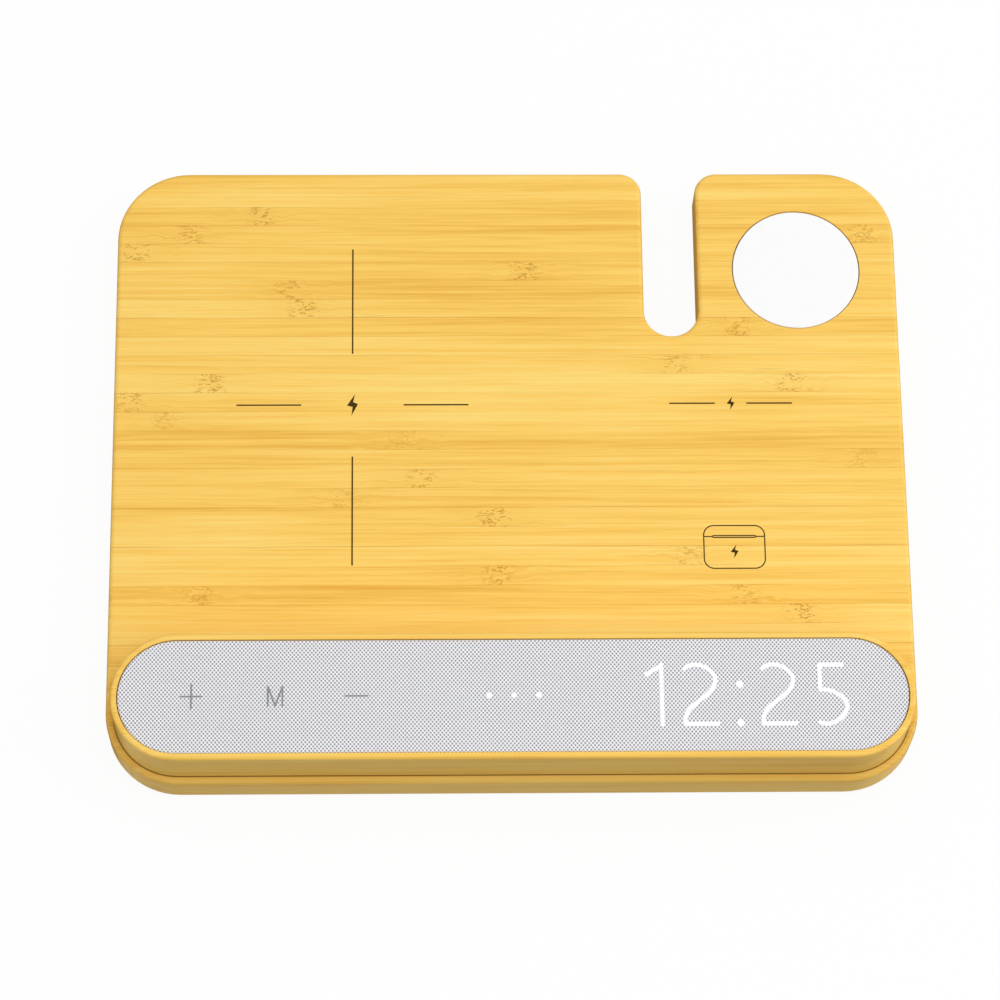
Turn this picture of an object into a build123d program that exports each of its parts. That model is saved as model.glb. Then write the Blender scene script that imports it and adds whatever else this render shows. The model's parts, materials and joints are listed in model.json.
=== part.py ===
"""Bamboo charging deck with a front bar that holds a clock, a small speaker and three keys.

Millimetres. +X runs to the right, +Y to the rear, +Z up. The origin is under the middle of
the deck, on the surface that the rubber feet stand on.
"""

import os
from math import radians, sqrt, tan

from build123d import *

os.makedirs("parts", exist_ok=True)

# Deck
deck_length = 250.0
deck_depth = 205.0
deck_thick = 12.8
deck_corner_r = 23.0
deck_edge_r = 1.5
deck_foot_chamfer = 0.8
deck_wall = 3.5
cover_ledge = 5.5
deck_skin = 3.0

# Slot for the watch band, open at the rear edge
slot_puck_pitch = 40.5
slot_width = 17.4
slot_length = 57.0
slot_mouth_r = 7.0
slot_corner_min_r = 0.4
corner_search = 0.1

# Watch puck
puck_side_inset = 32.1
puck_rear_inset = 34.3
puck_d = 40.6
puck_seat_gap = 0.3
puck_wall = 2.3
puck_face = 1.2
puck_flange = 1.5
puck_flange_thick = 1.4
puck_edge_r = 0.3

# Bottom cover, its screws and the feet
cover_thick = 2.0
cover_gap = 0.2
cover_screw_r = 1.25
cover_screw_head_r = 2.3
cover_screw_length = 7.0
cover_screw_side_inset = 57.5
cover_screw_front_x = 62.0
cover_screw_rear_x = 75.0
foot_d = 12.0
foot_thick = 2.0
foot_proud = 1.5
foot_side_inset = 25.0
foot_end_inset = 24.5
foot_edge_r = 0.5
foot_seat_gap = 0.2

# Fits shared by screws, pegs and set-in parts, and the screwdriver cross
screw_clear = 0.25
snug_fit = 0.05
pilot_spare = 0.6
drive_depth = 0.6
drive_width = 0.7
drive_length = 2.1

# Bar on the deck
bar_length = 244.8
bar_depth = 40.0
bar_front_inset = 22.5
bar_rise = 17.6
bar_recess = 0.3
bar_seat_gap = 0.15
bar_rim = 2.0
bar_ledge = 1.2
bar_floor = 4.0
bar_rim_r = 1.0
bar_seam_chamfer = 0.5

# Grille: a stiff frame with the cloth stretched over it
grille_gap = 0.2
cloth_sink = 0.3
cloth_thick = 0.5
cloth_edge_r = 0.45
grille_plate = 1.5
peg_r = 1.2
peg_length = 1.2
peg_end_inset = 6.8
print_thick = 0.06
light_film = 0.08

# Baffle, the moulded chassis of the bar
baffle_thick = 1.5
post_r = 2.5
post_end_inset = 11.2
post_side_x = 60.25
post_side_y = 13.8
post_middle_y = 10.6
post_board_gap = 0.3
pillar_r = 1.6
pillar_display_gap = 2.1
bar_screw_r = 1.3
bar_screw_head_r = 2.4
bar_screw_head = 1.6
bar_screw_length = 14.0

# Bar board
bar_board_thick = 1.2
bar_board_clear = 2.0
bar_board_end_inset = 15.0
bar_board_depth = 22.0
bar_board_r = 2.0
small_screw_r = 1.0
small_screw_head_r = 1.8
small_screw_head = 1.1
small_screw_bite = 3.0

# Keys under the cloth
key_pitch = 25.0
key_end_inset = 49.65
key_r = 8.6
key_guide_gap = 0.3
key_cap_wall = 1.2
key_flange = 1.2
key_flange_thick = 0.8
key_rest_gap = 0.3
key_cloth_gap = 0.2
key_travel = 0.5
key_press_spare = 0.05
key_stem_r = 1.6
switch_size = 6.0
switch_height = 2.6
switch_plunger_r = 1.7
switch_plunger = 0.7

# Status lights
status_pitch = 7.5
status_r = 0.85
status_lamp = 1.6
lamp_height = 0.6
lamp_gap = 0.2

# Clock display
display_length = 66.0
display_speaker_gap = 0.5
display_depth = 22.0
display_corner_r = 1.0
display_gap = 0.2
diffuser_thick = 0.3
clock_lamp = 0.8
digit_end_gap = 1.7
digit_stroke = 1.2
colon_r = 1.1

# Key legends on the cloth
legend_stroke = 0.5
legend_plus_width = 6.8
legend_plus_height = 7.9
legend_m_width = 4.4
legend_m_height = 6.1
legend_m_shift = 0.4
legend_minus = 7.2

# Speakers
speaker_x = 23.0
speaker_size = 28.0
speaker_corner_r = 3.0
speaker_flange = 1.0
speaker_basket_r = 12.5
speaker_sheet = 0.6
speaker_waist_r = 8.5
speaker_body = 5.5
magnet_r = 8.0
magnet_height = 4.0
magnet_hole_gap = 1.0
voice_r = 4.5
voice_wall = 0.4
voice_gap = 0.4
voice_reach = 0.8
voice_slot_depth = 3.0
cone_r = 9.3
cone_drop = 3.0
cone_sheet = 0.5
surround_gap = 0.3
surround_sheet = 0.4
surround_lip = 0.5
speaker_hole_inset = 2.3
speaker_screw_r = 0.8
speaker_screw_head_r = 1.5
speaker_screw_head = 0.9
speaker_screw_length = 2.2
contact_r = 0.4
contact_offset = 9.5

# Phone coil and its marks
phone_side_inset = 75.5
phone_rear_inset = 80.8
phone_coil_r = 22.0
phone_coil_hole_r = 10.0
phone_ferrite_size = 50.0
coil_thick = 1.2
ferrite_thick = 0.8
ferrite_corner_r = 4.0

# Earbud coil
earbud_side_inset = 54.95
earbud_bar_pitch = 53.6
earbud_coil_r = 16.0
earbud_coil_hole_r = 7.0
earbud_ferrite_size = 36.0

# Watch coil
watch_coil_r = 13.0
watch_coil_hole_r = 4.5
watch_coil_thick = 1.6
watch_ferrite_r = 14.5

# Engraved and painted marks on the deck
mark_depth = 0.3
mark_sunk = 0.02
mark_line = 0.5
cross_bar_gap = 27.9
cross_half_width = 36.7
cross_gap_length = 17.5
cross_gap_width = 16.2
bolt_width = 3.5
bolt_height = 7.4
small_bolt_width = 2.5
small_bolt_height = 4.6
case_width = 19.5
case_height = 14.6
case_corner_r = 3.4
case_line = 0.4
case_lid_y = 3.45
case_tab_width = 13.5
case_tab_height = 1.0
plain_mark_shift_x = 0.35
plain_mark_shift_y = 0.3
plain_mark_width = 39.0
plain_mark_rule = 14.5

# Main board
board_thick = 1.2
board_standoff = 1.2
board_slot_pitch = 57.4
board_length = 70.0
board_depth = 36.0
board_rear_gap = 1.0
board_tab_width = 16.0
board_corner_r = 2.0
board_hole_inset = 3.5
board_boss_r = 2.6
board_screw_bite = 2.2

# What stands on the main board: length, width and height
chip_size = (7.0, 7.0, 1.0)
driver_size = (5.0, 6.0, 1.2)
choke_size = (7.0, 7.0, 3.2)
cap_size = (3.2, 1.8, 1.4)

# Power inlet: the size of a common reversible low voltage plug
inlet_width = 8.94
inlet_height = 3.26
inlet_depth = 7.4
inlet_wall = 0.3
inlet_back = 0.6
inlet_mouth_gap = 0.2
inlet_board_gap = 0.8
tongue_width = 6.7
tongue_thick = 0.7
tongue_length = 5.2
bezel_width = 13.0
bezel_height = 7.0
bezel_wall = 0.8
bezel_gap = 0.1
notch_width = 24.0

# Connectors, ribbon and leads
connector_width = 5.0
connector_depth = 4.0
connector_height = 2.6
phone_plug_shift = -9.0
earbud_plug_shift = 18.5
watch_plug_shift = 25.0
plug_edge_gap = 0.5
ribbon_width = 12.0
ribbon_thick = 0.3
ribbon_bend_r = 2.5
ribbon_slot_gap = 0.8
ribbon_plug_width = 15.0
ribbon_plug_height = 1.4
ribbon_lift = 1.1
lead_r = 0.5
lead_drop = 3.3
lead_run = 9.0
lead_slot_gap = 3.7
lead_cross_reach = 27.0
earbud_bend_reach = 49.0
watch_exit = 3.6

# One overrun for every cut
over = 1.0

# Levels
deck_bottom = foot_proud
deck_top = deck_bottom + deck_thick
cover_top = deck_bottom + cover_thick
pocket_top = deck_top - deck_skin
pocket_inset = deck_wall + cover_ledge
bar_bottom = deck_top - bar_recess
bar_top = deck_top + bar_rise
floor_top = bar_bottom + bar_floor
cloth_top = bar_top - cloth_sink
frame_top = cloth_top - cloth_thick
baffle_top = frame_top - grille_plate
baffle_bottom = baffle_top - baffle_thick
bar_board_bottom = floor_top + bar_board_clear
bar_board_top = bar_board_bottom + bar_board_thick
light_top = frame_top - key_cloth_gap
board_bottom = cover_top + board_standoff
board_top = board_bottom + board_thick

# Places, measured from the edges that carry them
puck_x = deck_length / 2 - puck_side_inset
puck_y = deck_depth / 2 - puck_rear_inset
slot_x = puck_x - slot_puck_pitch
foot_x = deck_length / 2 - foot_side_inset
foot_y = deck_depth / 2 - foot_end_inset
bar_y = bar_front_inset - deck_depth / 2
phone_x = phone_side_inset - deck_length / 2
phone_y = deck_depth / 2 - phone_rear_inset
earbud_x = deck_length / 2 - earbud_side_inset
earbud_y = bar_y + earbud_bar_pitch
plain_mark_x = earbud_x + plain_mark_shift_x
plain_mark_y = phone_y + plain_mark_shift_y
peg_x = bar_length / 2 - peg_end_inset
post_end_x = bar_length / 2 - post_end_inset
bar_board_half_x = bar_length / 2 - bar_board_end_inset
key_middle_x = key_end_inset - bar_length / 2
board_x = slot_x - board_slot_pitch
cross_half_length = phone_y - bar_y - bar_depth / 2 - cross_bar_gap
display_left = speaker_x + speaker_size / 2 + display_speaker_gap
display_x = display_left + display_length / 2
pillar_right_x = display_left + display_length + pillar_display_gap
key_xs = [key_middle_x - key_pitch, key_middle_x, key_middle_x + key_pitch]

# Part of a lead's run that an arc may take
arc_share = 0.45

# Bolt outline and digit strokes, as shares of their own width and height
bolt_shares = [(0.24, 0.5), (-0.5, -0.03), (0.01, -0.09), (-0.09, -0.5), (0.5, 0.04), (0.06, 0.13)]
one_flag_shares = [(0, 0.83), (1, 1)]
two_curve_shares = [(0, 0.91), (0.48, 1), (0.93, 0.77), (0.62, 0.47), (0.12, 0.22), (0.03, 0)]
two_base_shares = [(0.03, 0), (1.02, 0)]
five_top_shares = [(0.2, 1), (1, 1)]
five_stem_shares = [(0.2, 1), (0.2, 0.57)]
five_bowl_shares = [(0.2, 0.57), (0.52, 0.56), (1.08, 0.3), (0.52, 0), (0.1, 0.04)]
m_leg_shares = [[(0, 0), (0, 1)], [(0, 1), (0.5, 0)], [(0.5, 0), (1, 1)], [(1, 1), (1, 0)]]

# Left edges and widths of the digits, as shares of the display's length
one_left_share = 0.035
two_left_share = 0.212
colon_middle_share = 0.471
second_two_left_share = 0.571
five_left_share = 0.814
digit_width_share = 0.158
one_width_share = 0.076
five_width_share = 0.138
colon_low_share = 0.012
colon_high_share = 0.668

# The digits in millimetres
digit_height = display_depth - 2 * digit_end_gap
digit_width = digit_width_share * display_length
one_width = one_width_share * display_length
five_width = five_width_share * display_length
one_x = display_left + one_left_share * display_length
two_x = display_left + two_left_share * display_length
colon_x = display_left + colon_middle_share * display_length
second_two_x = display_left + second_two_left_share * display_length
five_x = display_left + five_left_share * display_length
colon_low_y = colon_low_share * digit_height
colon_high_y = colon_high_share * digit_height

# Lamp places in each digit, as shares of the widest digit and its height
one_lamp_shares = [(0, 0.1), (0, 0.5), (0, 0.9)]
two_lamp_shares = [(0.48, 1), (0.93, 0.77), (0.62, 0.47), (0.12, 0.22), (0.3, 0), (0.8, 0)]
five_lamp_shares = [(0.175, 0.8), (0.55, 1), (0.945, 0.3)]

# Places on the main board, as shares of half its length and half its depth
chip_shares = [(-0.1, 0.1), (0.45, 0.15)]
driver_shares = [(-0.55, 0.25), (-0.55, -0.2), (0.7, -0.1)]
choke_shares = [(-0.78, 0.1), (0.2, 0.35), (0.72, 0.45)]
cap_shares = [(-0.35, 0.4), (-0.35, 0.15), (-0.35, -0.1), (0.1, -0.25), (0.3, -0.25), (0.5, -0.25)]


def deck_outline(sketch, inset):
    """Deck seen from above, drawn in by inset, with the band slot open at the rear."""
    RectangleRounded(
        deck_length - 2 * inset, deck_depth - 2 * inset, deck_corner_r - inset
    )
    half = slot_width / 2 + inset
    end_y = deck_depth / 2 - slot_length + slot_width / 2
    with Locations((slot_x, end_y)):
        Circle(half, mode=Mode.SUBTRACT)
        Rectangle(
            2 * half, deck_depth, align=(Align.CENTER, Align.MIN), mode=Mode.SUBTRACT
        )
    rear_y = deck_depth / 2 - inset
    mouth = [
        v
        for v in sketch.vertices()
        if abs(v.Y - rear_y) < corner_search and abs(abs(v.X - slot_x) - half) < corner_search
    ]
    fillet(mouth, max(slot_mouth_r - inset, slot_corner_min_r))


def bolt(width, height):
    """Plain lightning bolt about the current location."""
    Polygon(*[(x * width, y * height) for x, y in bolt_shares], align=None)


def deck_marks():
    """Phone cross, earbud case and plain mark, as one sketch."""
    tick_length = cross_half_length - cross_gap_length
    tick_width = cross_half_width - cross_gap_width
    tick_y = cross_gap_length + tick_length / 2
    tick_x = cross_gap_width + tick_width / 2
    with Locations((phone_x, phone_y - tick_y), (phone_x, phone_y + tick_y)):
        Rectangle(mark_line, tick_length)
    with Locations((phone_x - tick_x, phone_y), (phone_x + tick_x, phone_y)):
        Rectangle(tick_width, mark_line)
    with Locations((phone_x, phone_y)):
        bolt(bolt_width, bolt_height)
    lid_arm = (case_width - case_tab_width) / 2
    arm_x = case_width / 2 - lid_arm / 2
    with Locations((earbud_x, earbud_y)):
        RectangleRounded(case_width, case_height, case_corner_r)
        RectangleRounded(
            case_width - 2 * case_line,
            case_height - 2 * case_line,
            case_corner_r - case_line,
            mode=Mode.SUBTRACT,
        )
    with Locations(
        (earbud_x - arm_x, earbud_y + case_lid_y), (earbud_x + arm_x, earbud_y + case_lid_y)
    ):
        Rectangle(lid_arm, case_line)
    with Locations((earbud_x, earbud_y + case_lid_y)):
        SlotOverall(case_tab_width + case_line, case_tab_height)
        SlotOverall(
            case_tab_width - case_line, case_tab_height - 2 * case_line, mode=Mode.SUBTRACT
        )
    with Locations((earbud_x, earbud_y - small_bolt_height / 3)):
        bolt(small_bolt_width, small_bolt_height)
    rule_x = (plain_mark_width - plain_mark_rule) / 2
    with Locations((plain_mark_x - rule_x, plain_mark_y), (plain_mark_x + rule_x, plain_mark_y)):
        Rectangle(plain_mark_rule, mark_line)
    with Locations((plain_mark_x, plain_mark_y)):
        bolt(small_bolt_width, small_bolt_height)


def stroke(shares, left, base, width, height, pen):
    """One pen stroke: straight between two points, or a smooth curve through more."""
    points = [(left + x * width, base + y * height) for x, y in shares]
    with BuildLine() as path:
        if len(points) == 2:
            Line(*points)
        else:
            Spline(*points)
    trace(path.line, line_width=pen)
    return points


def joint(point, pen):
    """Round the corner where two strokes meet."""
    with Locations(point):
        Circle(pen / 2)


def digit_one(left, base, pen):
    flag = stroke(one_flag_shares, left, base, one_width, digit_height, pen)
    stem_x = left + one_width
    with Locations((stem_x, base + digit_height / 2)):
        Rectangle(pen, digit_height + pen)
    joint(flag[-1], pen)


def digit_two(left, base, pen):
    size = (left, base, digit_width, digit_height, pen)
    curve = stroke(two_curve_shares, *size)
    stroke(two_base_shares, *size)
    joint(curve[-1], pen)


def digit_five(left, base, pen):
    size = (left, base, five_width, digit_height, pen)
    for shares in (five_top_shares, five_stem_shares, five_bowl_shares):
        points = stroke(shares, *size)
        joint(points[0], pen)


def clock_face():
    """The digits 12:25 and the colon between them."""
    base = bar_y - digit_height / 2
    digit_one(one_x, base, digit_stroke)
    digit_two(two_x, base, digit_stroke)
    digit_two(second_two_x, base, digit_stroke)
    digit_five(five_x, base, digit_stroke)
    with Locations((colon_x, base + colon_low_y), (colon_x, base + colon_high_y)):
        Circle(colon_r)


def bar_outline(inset):
    """Pill outline of the bar, drawn in by inset."""
    with Locations((0, bar_y)):
        SlotOverall(bar_length - 2 * inset, bar_depth - 2 * inset)


def lead_radii(points):
    """Arc radii that are as large as the two runs beside each corner allow."""
    runs = [b - a for a, b in zip(points, points[1:])]
    radii = []
    for before, after in zip(runs, runs[1:]):
        half_turn = radians(before.get_angle(after) / 2)
        radii.append(arc_share * min(before.length, after.length) / tan(half_turn))
    return radii


def lead(*points):
    """Round lead along straight runs joined by tangent arcs."""
    stops = [Vector(*p) for p in points]
    with BuildLine() as path:
        FilletPolyline(*stops, radius=lead_radii(stops))
    with BuildSketch(Plane(origin=path.line @ 0, z_dir=path.line % 0)) as section:
        Circle(lead_r)
    sweep(section.sketch, path=path.line)


def cover_screw_spots():
    """Screw places along the middle of the cover's ledge."""
    line = deck_wall + cover_ledge / 2
    side_x = deck_length / 2 - line
    side_y = deck_depth / 2 - cover_screw_side_inset
    end_y = deck_depth / 2 - line
    slot_end_y = deck_depth / 2 - slot_length - line
    return [
        (-side_x, -side_y),
        (-side_x, side_y),
        (side_x, -side_y),
        (side_x, side_y),
        (-cover_screw_front_x, -end_y),
        (cover_screw_front_x, -end_y),
        (-cover_screw_rear_x, end_y),
        (puck_x, end_y),
        (slot_x, slot_end_y),
    ]


def post_spots():
    """Places of the baffle's long posts, where the bar screws bite."""
    return [
        (-post_end_x, bar_y),
        (post_end_x, bar_y),
        (-post_side_x, bar_y + post_side_y),
        (post_side_x, bar_y + post_side_y),
        (0, bar_y - post_middle_y),
    ]


def pillar_spots():
    """Places of the baffle's short pillars, between the keys and past the display."""
    return [
        (key_middle_x - key_pitch / 2, bar_y),
        (key_middle_x + key_pitch / 2, bar_y),
        (pillar_right_x, bar_y),
    ]


def board_hole_spots():
    dx = board_length / 2 - board_hole_inset
    dy = board_depth / 2 - board_hole_inset
    return [(board_x + i * dx, board_y + j * dy) for i in (-1, 1) for j in (-1, 1)]


def speaker_hole_spots():
    d = speaker_size / 2 - speaker_hole_inset
    return [
        (s * speaker_x + i * d, bar_y + j * d)
        for s in (-1, 1)
        for i in (-1, 1)
        for j in (-1, 1)
    ]


def column(z_low, z_high, radius, spots, mode=Mode.ADD):
    """Round columns, or round holes with Mode.SUBTRACT, at each spot."""
    with BuildSketch(Plane.XY.offset(z_low)) as discs:
        with Locations(*spots):
            Circle(radius)
    extrude(discs.sketch, amount=z_high - z_low, mode=mode)


def drive_cross(z, depth, spots):
    """Cross for a screwdriver, cut upwards from z, or downwards with a negative depth."""
    with BuildSketch(Plane.XY.offset(z)) as cross:
        with Locations(*spots):
            Rectangle(drive_length, drive_width)
            Rectangle(drive_width, drive_length)
    extrude(cross.sketch, amount=depth, mode=Mode.SUBTRACT)


board_rear_y = deck_depth / 2 - pocket_inset - board_rear_gap
board_y = board_rear_y - board_depth / 2
inlet_mouth_y = deck_depth / 2 - deck_wall - inlet_mouth_gap
inlet_z = board_top + inlet_height / 2
speaker_spots = [(-speaker_x, bar_y), (speaker_x, bar_y)]
status_spots = [(-status_pitch, bar_y), (0, bar_y), (status_pitch, bar_y)]
key_spots = [(x, bar_y) for x in key_xs]
foot_spots = [(i * foot_x, j * foot_y) for i in (-1, 1) for j in (-1, 1)]
screw_head_bottom = pocket_top - bar_screw_head

# Deck: one bamboo board, milled from below for the electronics
with BuildPart() as deck:
    with BuildSketch(Plane.XY.offset(deck_bottom)) as outline:
        deck_outline(outline, 0)
    extrude(amount=deck_thick)
    fillet(deck.edges().group_by(Axis.Z)[-1], deck_edge_r)
    chamfer(deck.edges().group_by(Axis.Z)[0], deck_foot_chamfer)
    with BuildSketch(Plane.XY.offset(deck_bottom)) as outline:
        deck_outline(outline, deck_wall)
    extrude(amount=cover_thick, mode=Mode.SUBTRACT)
    with BuildSketch(Plane.XY.offset(cover_top)) as outline:
        deck_outline(outline, pocket_inset)
    extrude(amount=pocket_top - cover_top, mode=Mode.SUBTRACT)
    # Notch in the ledge that lets the power inlet reach the rear wall
    with BuildSketch(Plane.XY.offset(cover_top)):
        with Locations((board_x, deck_depth / 2 - deck_wall)):
            Rectangle(notch_width, cover_ledge + over, align=(Align.CENTER, Align.MAX))
    extrude(amount=pocket_top - cover_top, mode=Mode.SUBTRACT)
    with BuildSketch(Plane.XZ.offset(-deck_depth / 2 - over)):
        with Locations((board_x, inlet_z)):
            SlotOverall(
                bezel_width + 2 * (bezel_wall + bezel_gap),
                bezel_height + 2 * (bezel_wall + bezel_gap),
            )
    extrude(amount=deck_wall + 2 * over, mode=Mode.SUBTRACT)
    column(
        pocket_top - over, deck_top + over, puck_d / 2 + puck_seat_gap,
        [(puck_x, puck_y)], Mode.SUBTRACT,
    )
    with BuildSketch(Plane.XY.offset(bar_bottom)):
        bar_outline(-bar_seat_gap)
    extrude(amount=bar_recess + over, mode=Mode.SUBTRACT)
    column(
        pocket_top - over, deck_top + over, bar_screw_r + screw_clear,
        post_spots(), Mode.SUBTRACT,
    )
    with BuildSketch(Plane.XY.offset(pocket_top - over)):
        with Locations((0, bar_y)):
            Rectangle(ribbon_width + 2 * ribbon_slot_gap, ribbon_thick + 2 * ribbon_slot_gap)
    extrude(amount=deck_skin + 2 * over, mode=Mode.SUBTRACT)
    column(
        cover_top, deck_bottom + cover_screw_length + pilot_spare, cover_screw_r + snug_fit,
        cover_screw_spots(), Mode.SUBTRACT,
    )
    with BuildSketch(Plane.XY.offset(deck_top - mark_depth)):
        deck_marks()
    extrude(amount=mark_depth + over, mode=Mode.SUBTRACT)
deck.part.label = "deck"
export_step(deck.part, "parts/deck.step")

with BuildPart() as deck_markings:
    with BuildSketch(Plane.XY.offset(deck_top - mark_depth)):
        deck_marks()
    extrude(amount=mark_depth - mark_sunk)
deck_markings.part.label = "deck_markings"
export_step(deck_markings.part, "parts/deck_markings.step")

# Bottom cover with its screws and feet
with BuildPart() as bottom_cover:
    with BuildSketch(Plane.XY.offset(deck_bottom)) as outline:
        deck_outline(outline, deck_wall + cover_gap)
    extrude(amount=cover_thick)
    column(cover_top, board_bottom, board_boss_r, board_hole_spots())
    column(
        board_bottom - board_screw_bite, board_bottom + over,
        small_screw_r + snug_fit, board_hole_spots(), Mode.SUBTRACT,
    )
    column(
        deck_bottom - over, cover_top + over, cover_screw_r + screw_clear,
        cover_screw_spots(), Mode.SUBTRACT,
    )
    sink_depth = cover_screw_head_r - cover_screw_r
    with BuildSketch(Plane.XY.offset(deck_bottom)):
        with Locations(*cover_screw_spots()):
            Circle(cover_screw_head_r + screw_clear)
    extrude(amount=sink_depth, taper=45, mode=Mode.SUBTRACT)
    column(
        deck_bottom - over, foot_thick, foot_d / 2 + foot_seat_gap, foot_spots, Mode.SUBTRACT
    )
bottom_cover.part.label = "bottom_cover"
export_step(bottom_cover.part, "parts/bottom_cover.step")

with BuildPart() as cover_screws:
    column(
        deck_bottom, deck_bottom + cover_screw_length, cover_screw_r, cover_screw_spots()
    )
    with BuildSketch(Plane.XY.offset(deck_bottom)):
        with Locations(*cover_screw_spots()):
            Circle(cover_screw_head_r)
    extrude(amount=cover_screw_head_r - cover_screw_r, taper=45)
    drive_cross(deck_bottom, drive_depth, cover_screw_spots())
cover_screws.part.label = "cover_screws"
export_step(cover_screws.part, "parts/cover_screws.step")

with BuildPart() as rubber_feet:
    column(0, foot_thick, foot_d / 2, foot_spots)
    fillet(rubber_feet.edges().group_by(Axis.Z)[0], foot_edge_r)
rubber_feet.part.label = "rubber_feet"
export_step(rubber_feet.part, "parts/rubber_feet.step")

# Watch puck: a cup that is set in from below, with its coil and ferrite inside
puck_cavity_top = deck_top - puck_face
with BuildPart() as watch_puck:
    column(pocket_top, deck_top, puck_d / 2, [(puck_x, puck_y)])
    fillet(watch_puck.edges().group_by(Axis.Z)[-1], puck_edge_r)
    column(
        pocket_top - puck_flange_thick, pocket_top, puck_d / 2 + puck_flange, [(puck_x, puck_y)]
    )
    column(
        pocket_top - puck_flange_thick - over, puck_cavity_top, puck_d / 2 - puck_wall,
        [(puck_x, puck_y)], Mode.SUBTRACT,
    )
watch_puck.part.label = "watch_puck"
export_step(watch_puck.part, "parts/watch_puck.step")

with BuildPart() as watch_coil:
    column(puck_cavity_top - watch_coil_thick, puck_cavity_top, watch_coil_r, [(puck_x, puck_y)])
    column(
        puck_cavity_top - watch_coil_thick, puck_cavity_top, watch_coil_hole_r,
        [(puck_x, puck_y)], Mode.SUBTRACT,
    )
watch_coil.part.label = "watch_coil"
export_step(watch_coil.part, "parts/watch_coil.step")

watch_ferrite_top = puck_cavity_top - watch_coil_thick
with BuildPart() as watch_ferrite:
    column(
        watch_ferrite_top - ferrite_thick, watch_ferrite_top, watch_ferrite_r, [(puck_x, puck_y)]
    )
watch_ferrite.part.label = "watch_ferrite"
export_step(watch_ferrite.part, "parts/watch_ferrite.step")


def flat_coil(name, spot, outer_r, hole_r):
    """Ring of flat wound litz wire glued under the deck's skin."""
    with BuildPart() as coil:
        column(pocket_top - coil_thick, pocket_top, outer_r, [spot])
        column(pocket_top - coil_thick, pocket_top, hole_r, [spot], Mode.SUBTRACT)
    coil.part.label = name
    export_step(coil.part, "parts/" + name + ".step")


def ferrite_plate(name, spot, size):
    """Square ferrite plate glued under a coil."""
    with BuildPart() as plate:
        with BuildSketch(Plane.XY.offset(pocket_top - coil_thick - ferrite_thick)):
            with Locations(spot):
                RectangleRounded(size, size, ferrite_corner_r)
        extrude(amount=ferrite_thick)
    plate.part.label = name
    export_step(plate.part, "parts/" + name + ".step")


flat_coil("phone_coil", (phone_x, phone_y), phone_coil_r, phone_coil_hole_r)
ferrite_plate("phone_ferrite", (phone_x, phone_y), phone_ferrite_size)
flat_coil("earbud_coil", (earbud_x, earbud_y), earbud_coil_r, earbud_coil_hole_r)
ferrite_plate("earbud_ferrite", (earbud_x, earbud_y), earbud_ferrite_size)

# Main board on the cover's bosses
with BuildPart() as main_board:
    with BuildSketch(Plane.XY.offset(board_bottom)):
        with Locations((board_x, board_y)):
            RectangleRounded(board_length, board_depth, board_corner_r)
        with Locations((board_x, inlet_mouth_y - inlet_board_gap)):
            Rectangle(
                board_tab_width, board_depth / 2, align=(Align.CENTER, Align.MAX)
            )
        with Locations(*board_hole_spots()):
            Circle(small_screw_r + screw_clear, mode=Mode.SUBTRACT)
    extrude(amount=board_thick)
main_board.part.label = "main_board"
export_step(main_board.part, "parts/main_board.step")

# Chips, drivers, chokes and capacitors
board_groups = [
    (chip_size, chip_shares), (driver_size, driver_shares),
    (choke_size, choke_shares), (cap_size, cap_shares),
]
with BuildPart() as board_components:
    for size, shares in board_groups:
        spots = [
            (board_x + u * board_length / 2, board_y + v * board_depth / 2) for u, v in shares
        ]
        with BuildSketch(Plane.XY.offset(board_top)):
            with Locations(*spots):
                Rectangle(size[0], size[1])
        extrude(amount=size[2])
board_components.part.label = "board_components"
export_step(board_components.part, "parts/board_components.step")

with BuildPart() as board_screws:
    column(
        board_bottom - board_screw_bite + pilot_spare, board_top, small_screw_r, board_hole_spots()
    )
    column(board_top, board_top + small_screw_head, small_screw_head_r, board_hole_spots())
    drive_cross(board_top + small_screw_head, -drive_depth, board_hole_spots())
board_screws.part.label = "board_screws"
export_step(board_screws.part, "parts/board_screws.step")

# Power inlet on the board's tab, seen from outside through the bezel
with BuildPart() as inlet_shell:
    with BuildSketch(Plane.XZ.offset(-inlet_mouth_y)):
        with Locations((board_x, inlet_z)):
            SlotOverall(inlet_width, inlet_height)
    extrude(amount=inlet_depth)
    with BuildSketch(Plane.XZ.offset(-inlet_mouth_y)):
        with Locations((board_x, inlet_z)):
            SlotOverall(inlet_width - 2 * inlet_wall, inlet_height - 2 * inlet_wall)
    extrude(amount=inlet_depth - inlet_back, mode=Mode.SUBTRACT)
inlet_shell.part.label = "inlet_shell"
export_step(inlet_shell.part, "parts/inlet_shell.step")

with BuildPart() as inlet_tongue:
    with BuildSketch(Plane.XZ.offset(-inlet_mouth_y + inlet_depth - inlet_back)):
        with Locations((board_x, inlet_z)):
            Rectangle(tongue_width, tongue_thick)
    extrude(amount=-tongue_length)
inlet_tongue.part.label = "inlet_tongue"
export_step(inlet_tongue.part, "parts/inlet_tongue.step")

with BuildPart() as inlet_bezel:
    with BuildSketch(Plane.XZ.offset(-deck_depth / 2)):
        with Locations((board_x, inlet_z)):
            SlotOverall(bezel_width + 2 * bezel_wall, bezel_height + 2 * bezel_wall)
            SlotOverall(bezel_width, bezel_height, mode=Mode.SUBTRACT)
    extrude(amount=deck_wall)
inlet_bezel.part.label = "inlet_bezel"
export_step(inlet_bezel.part, "parts/inlet_bezel.step")

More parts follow.
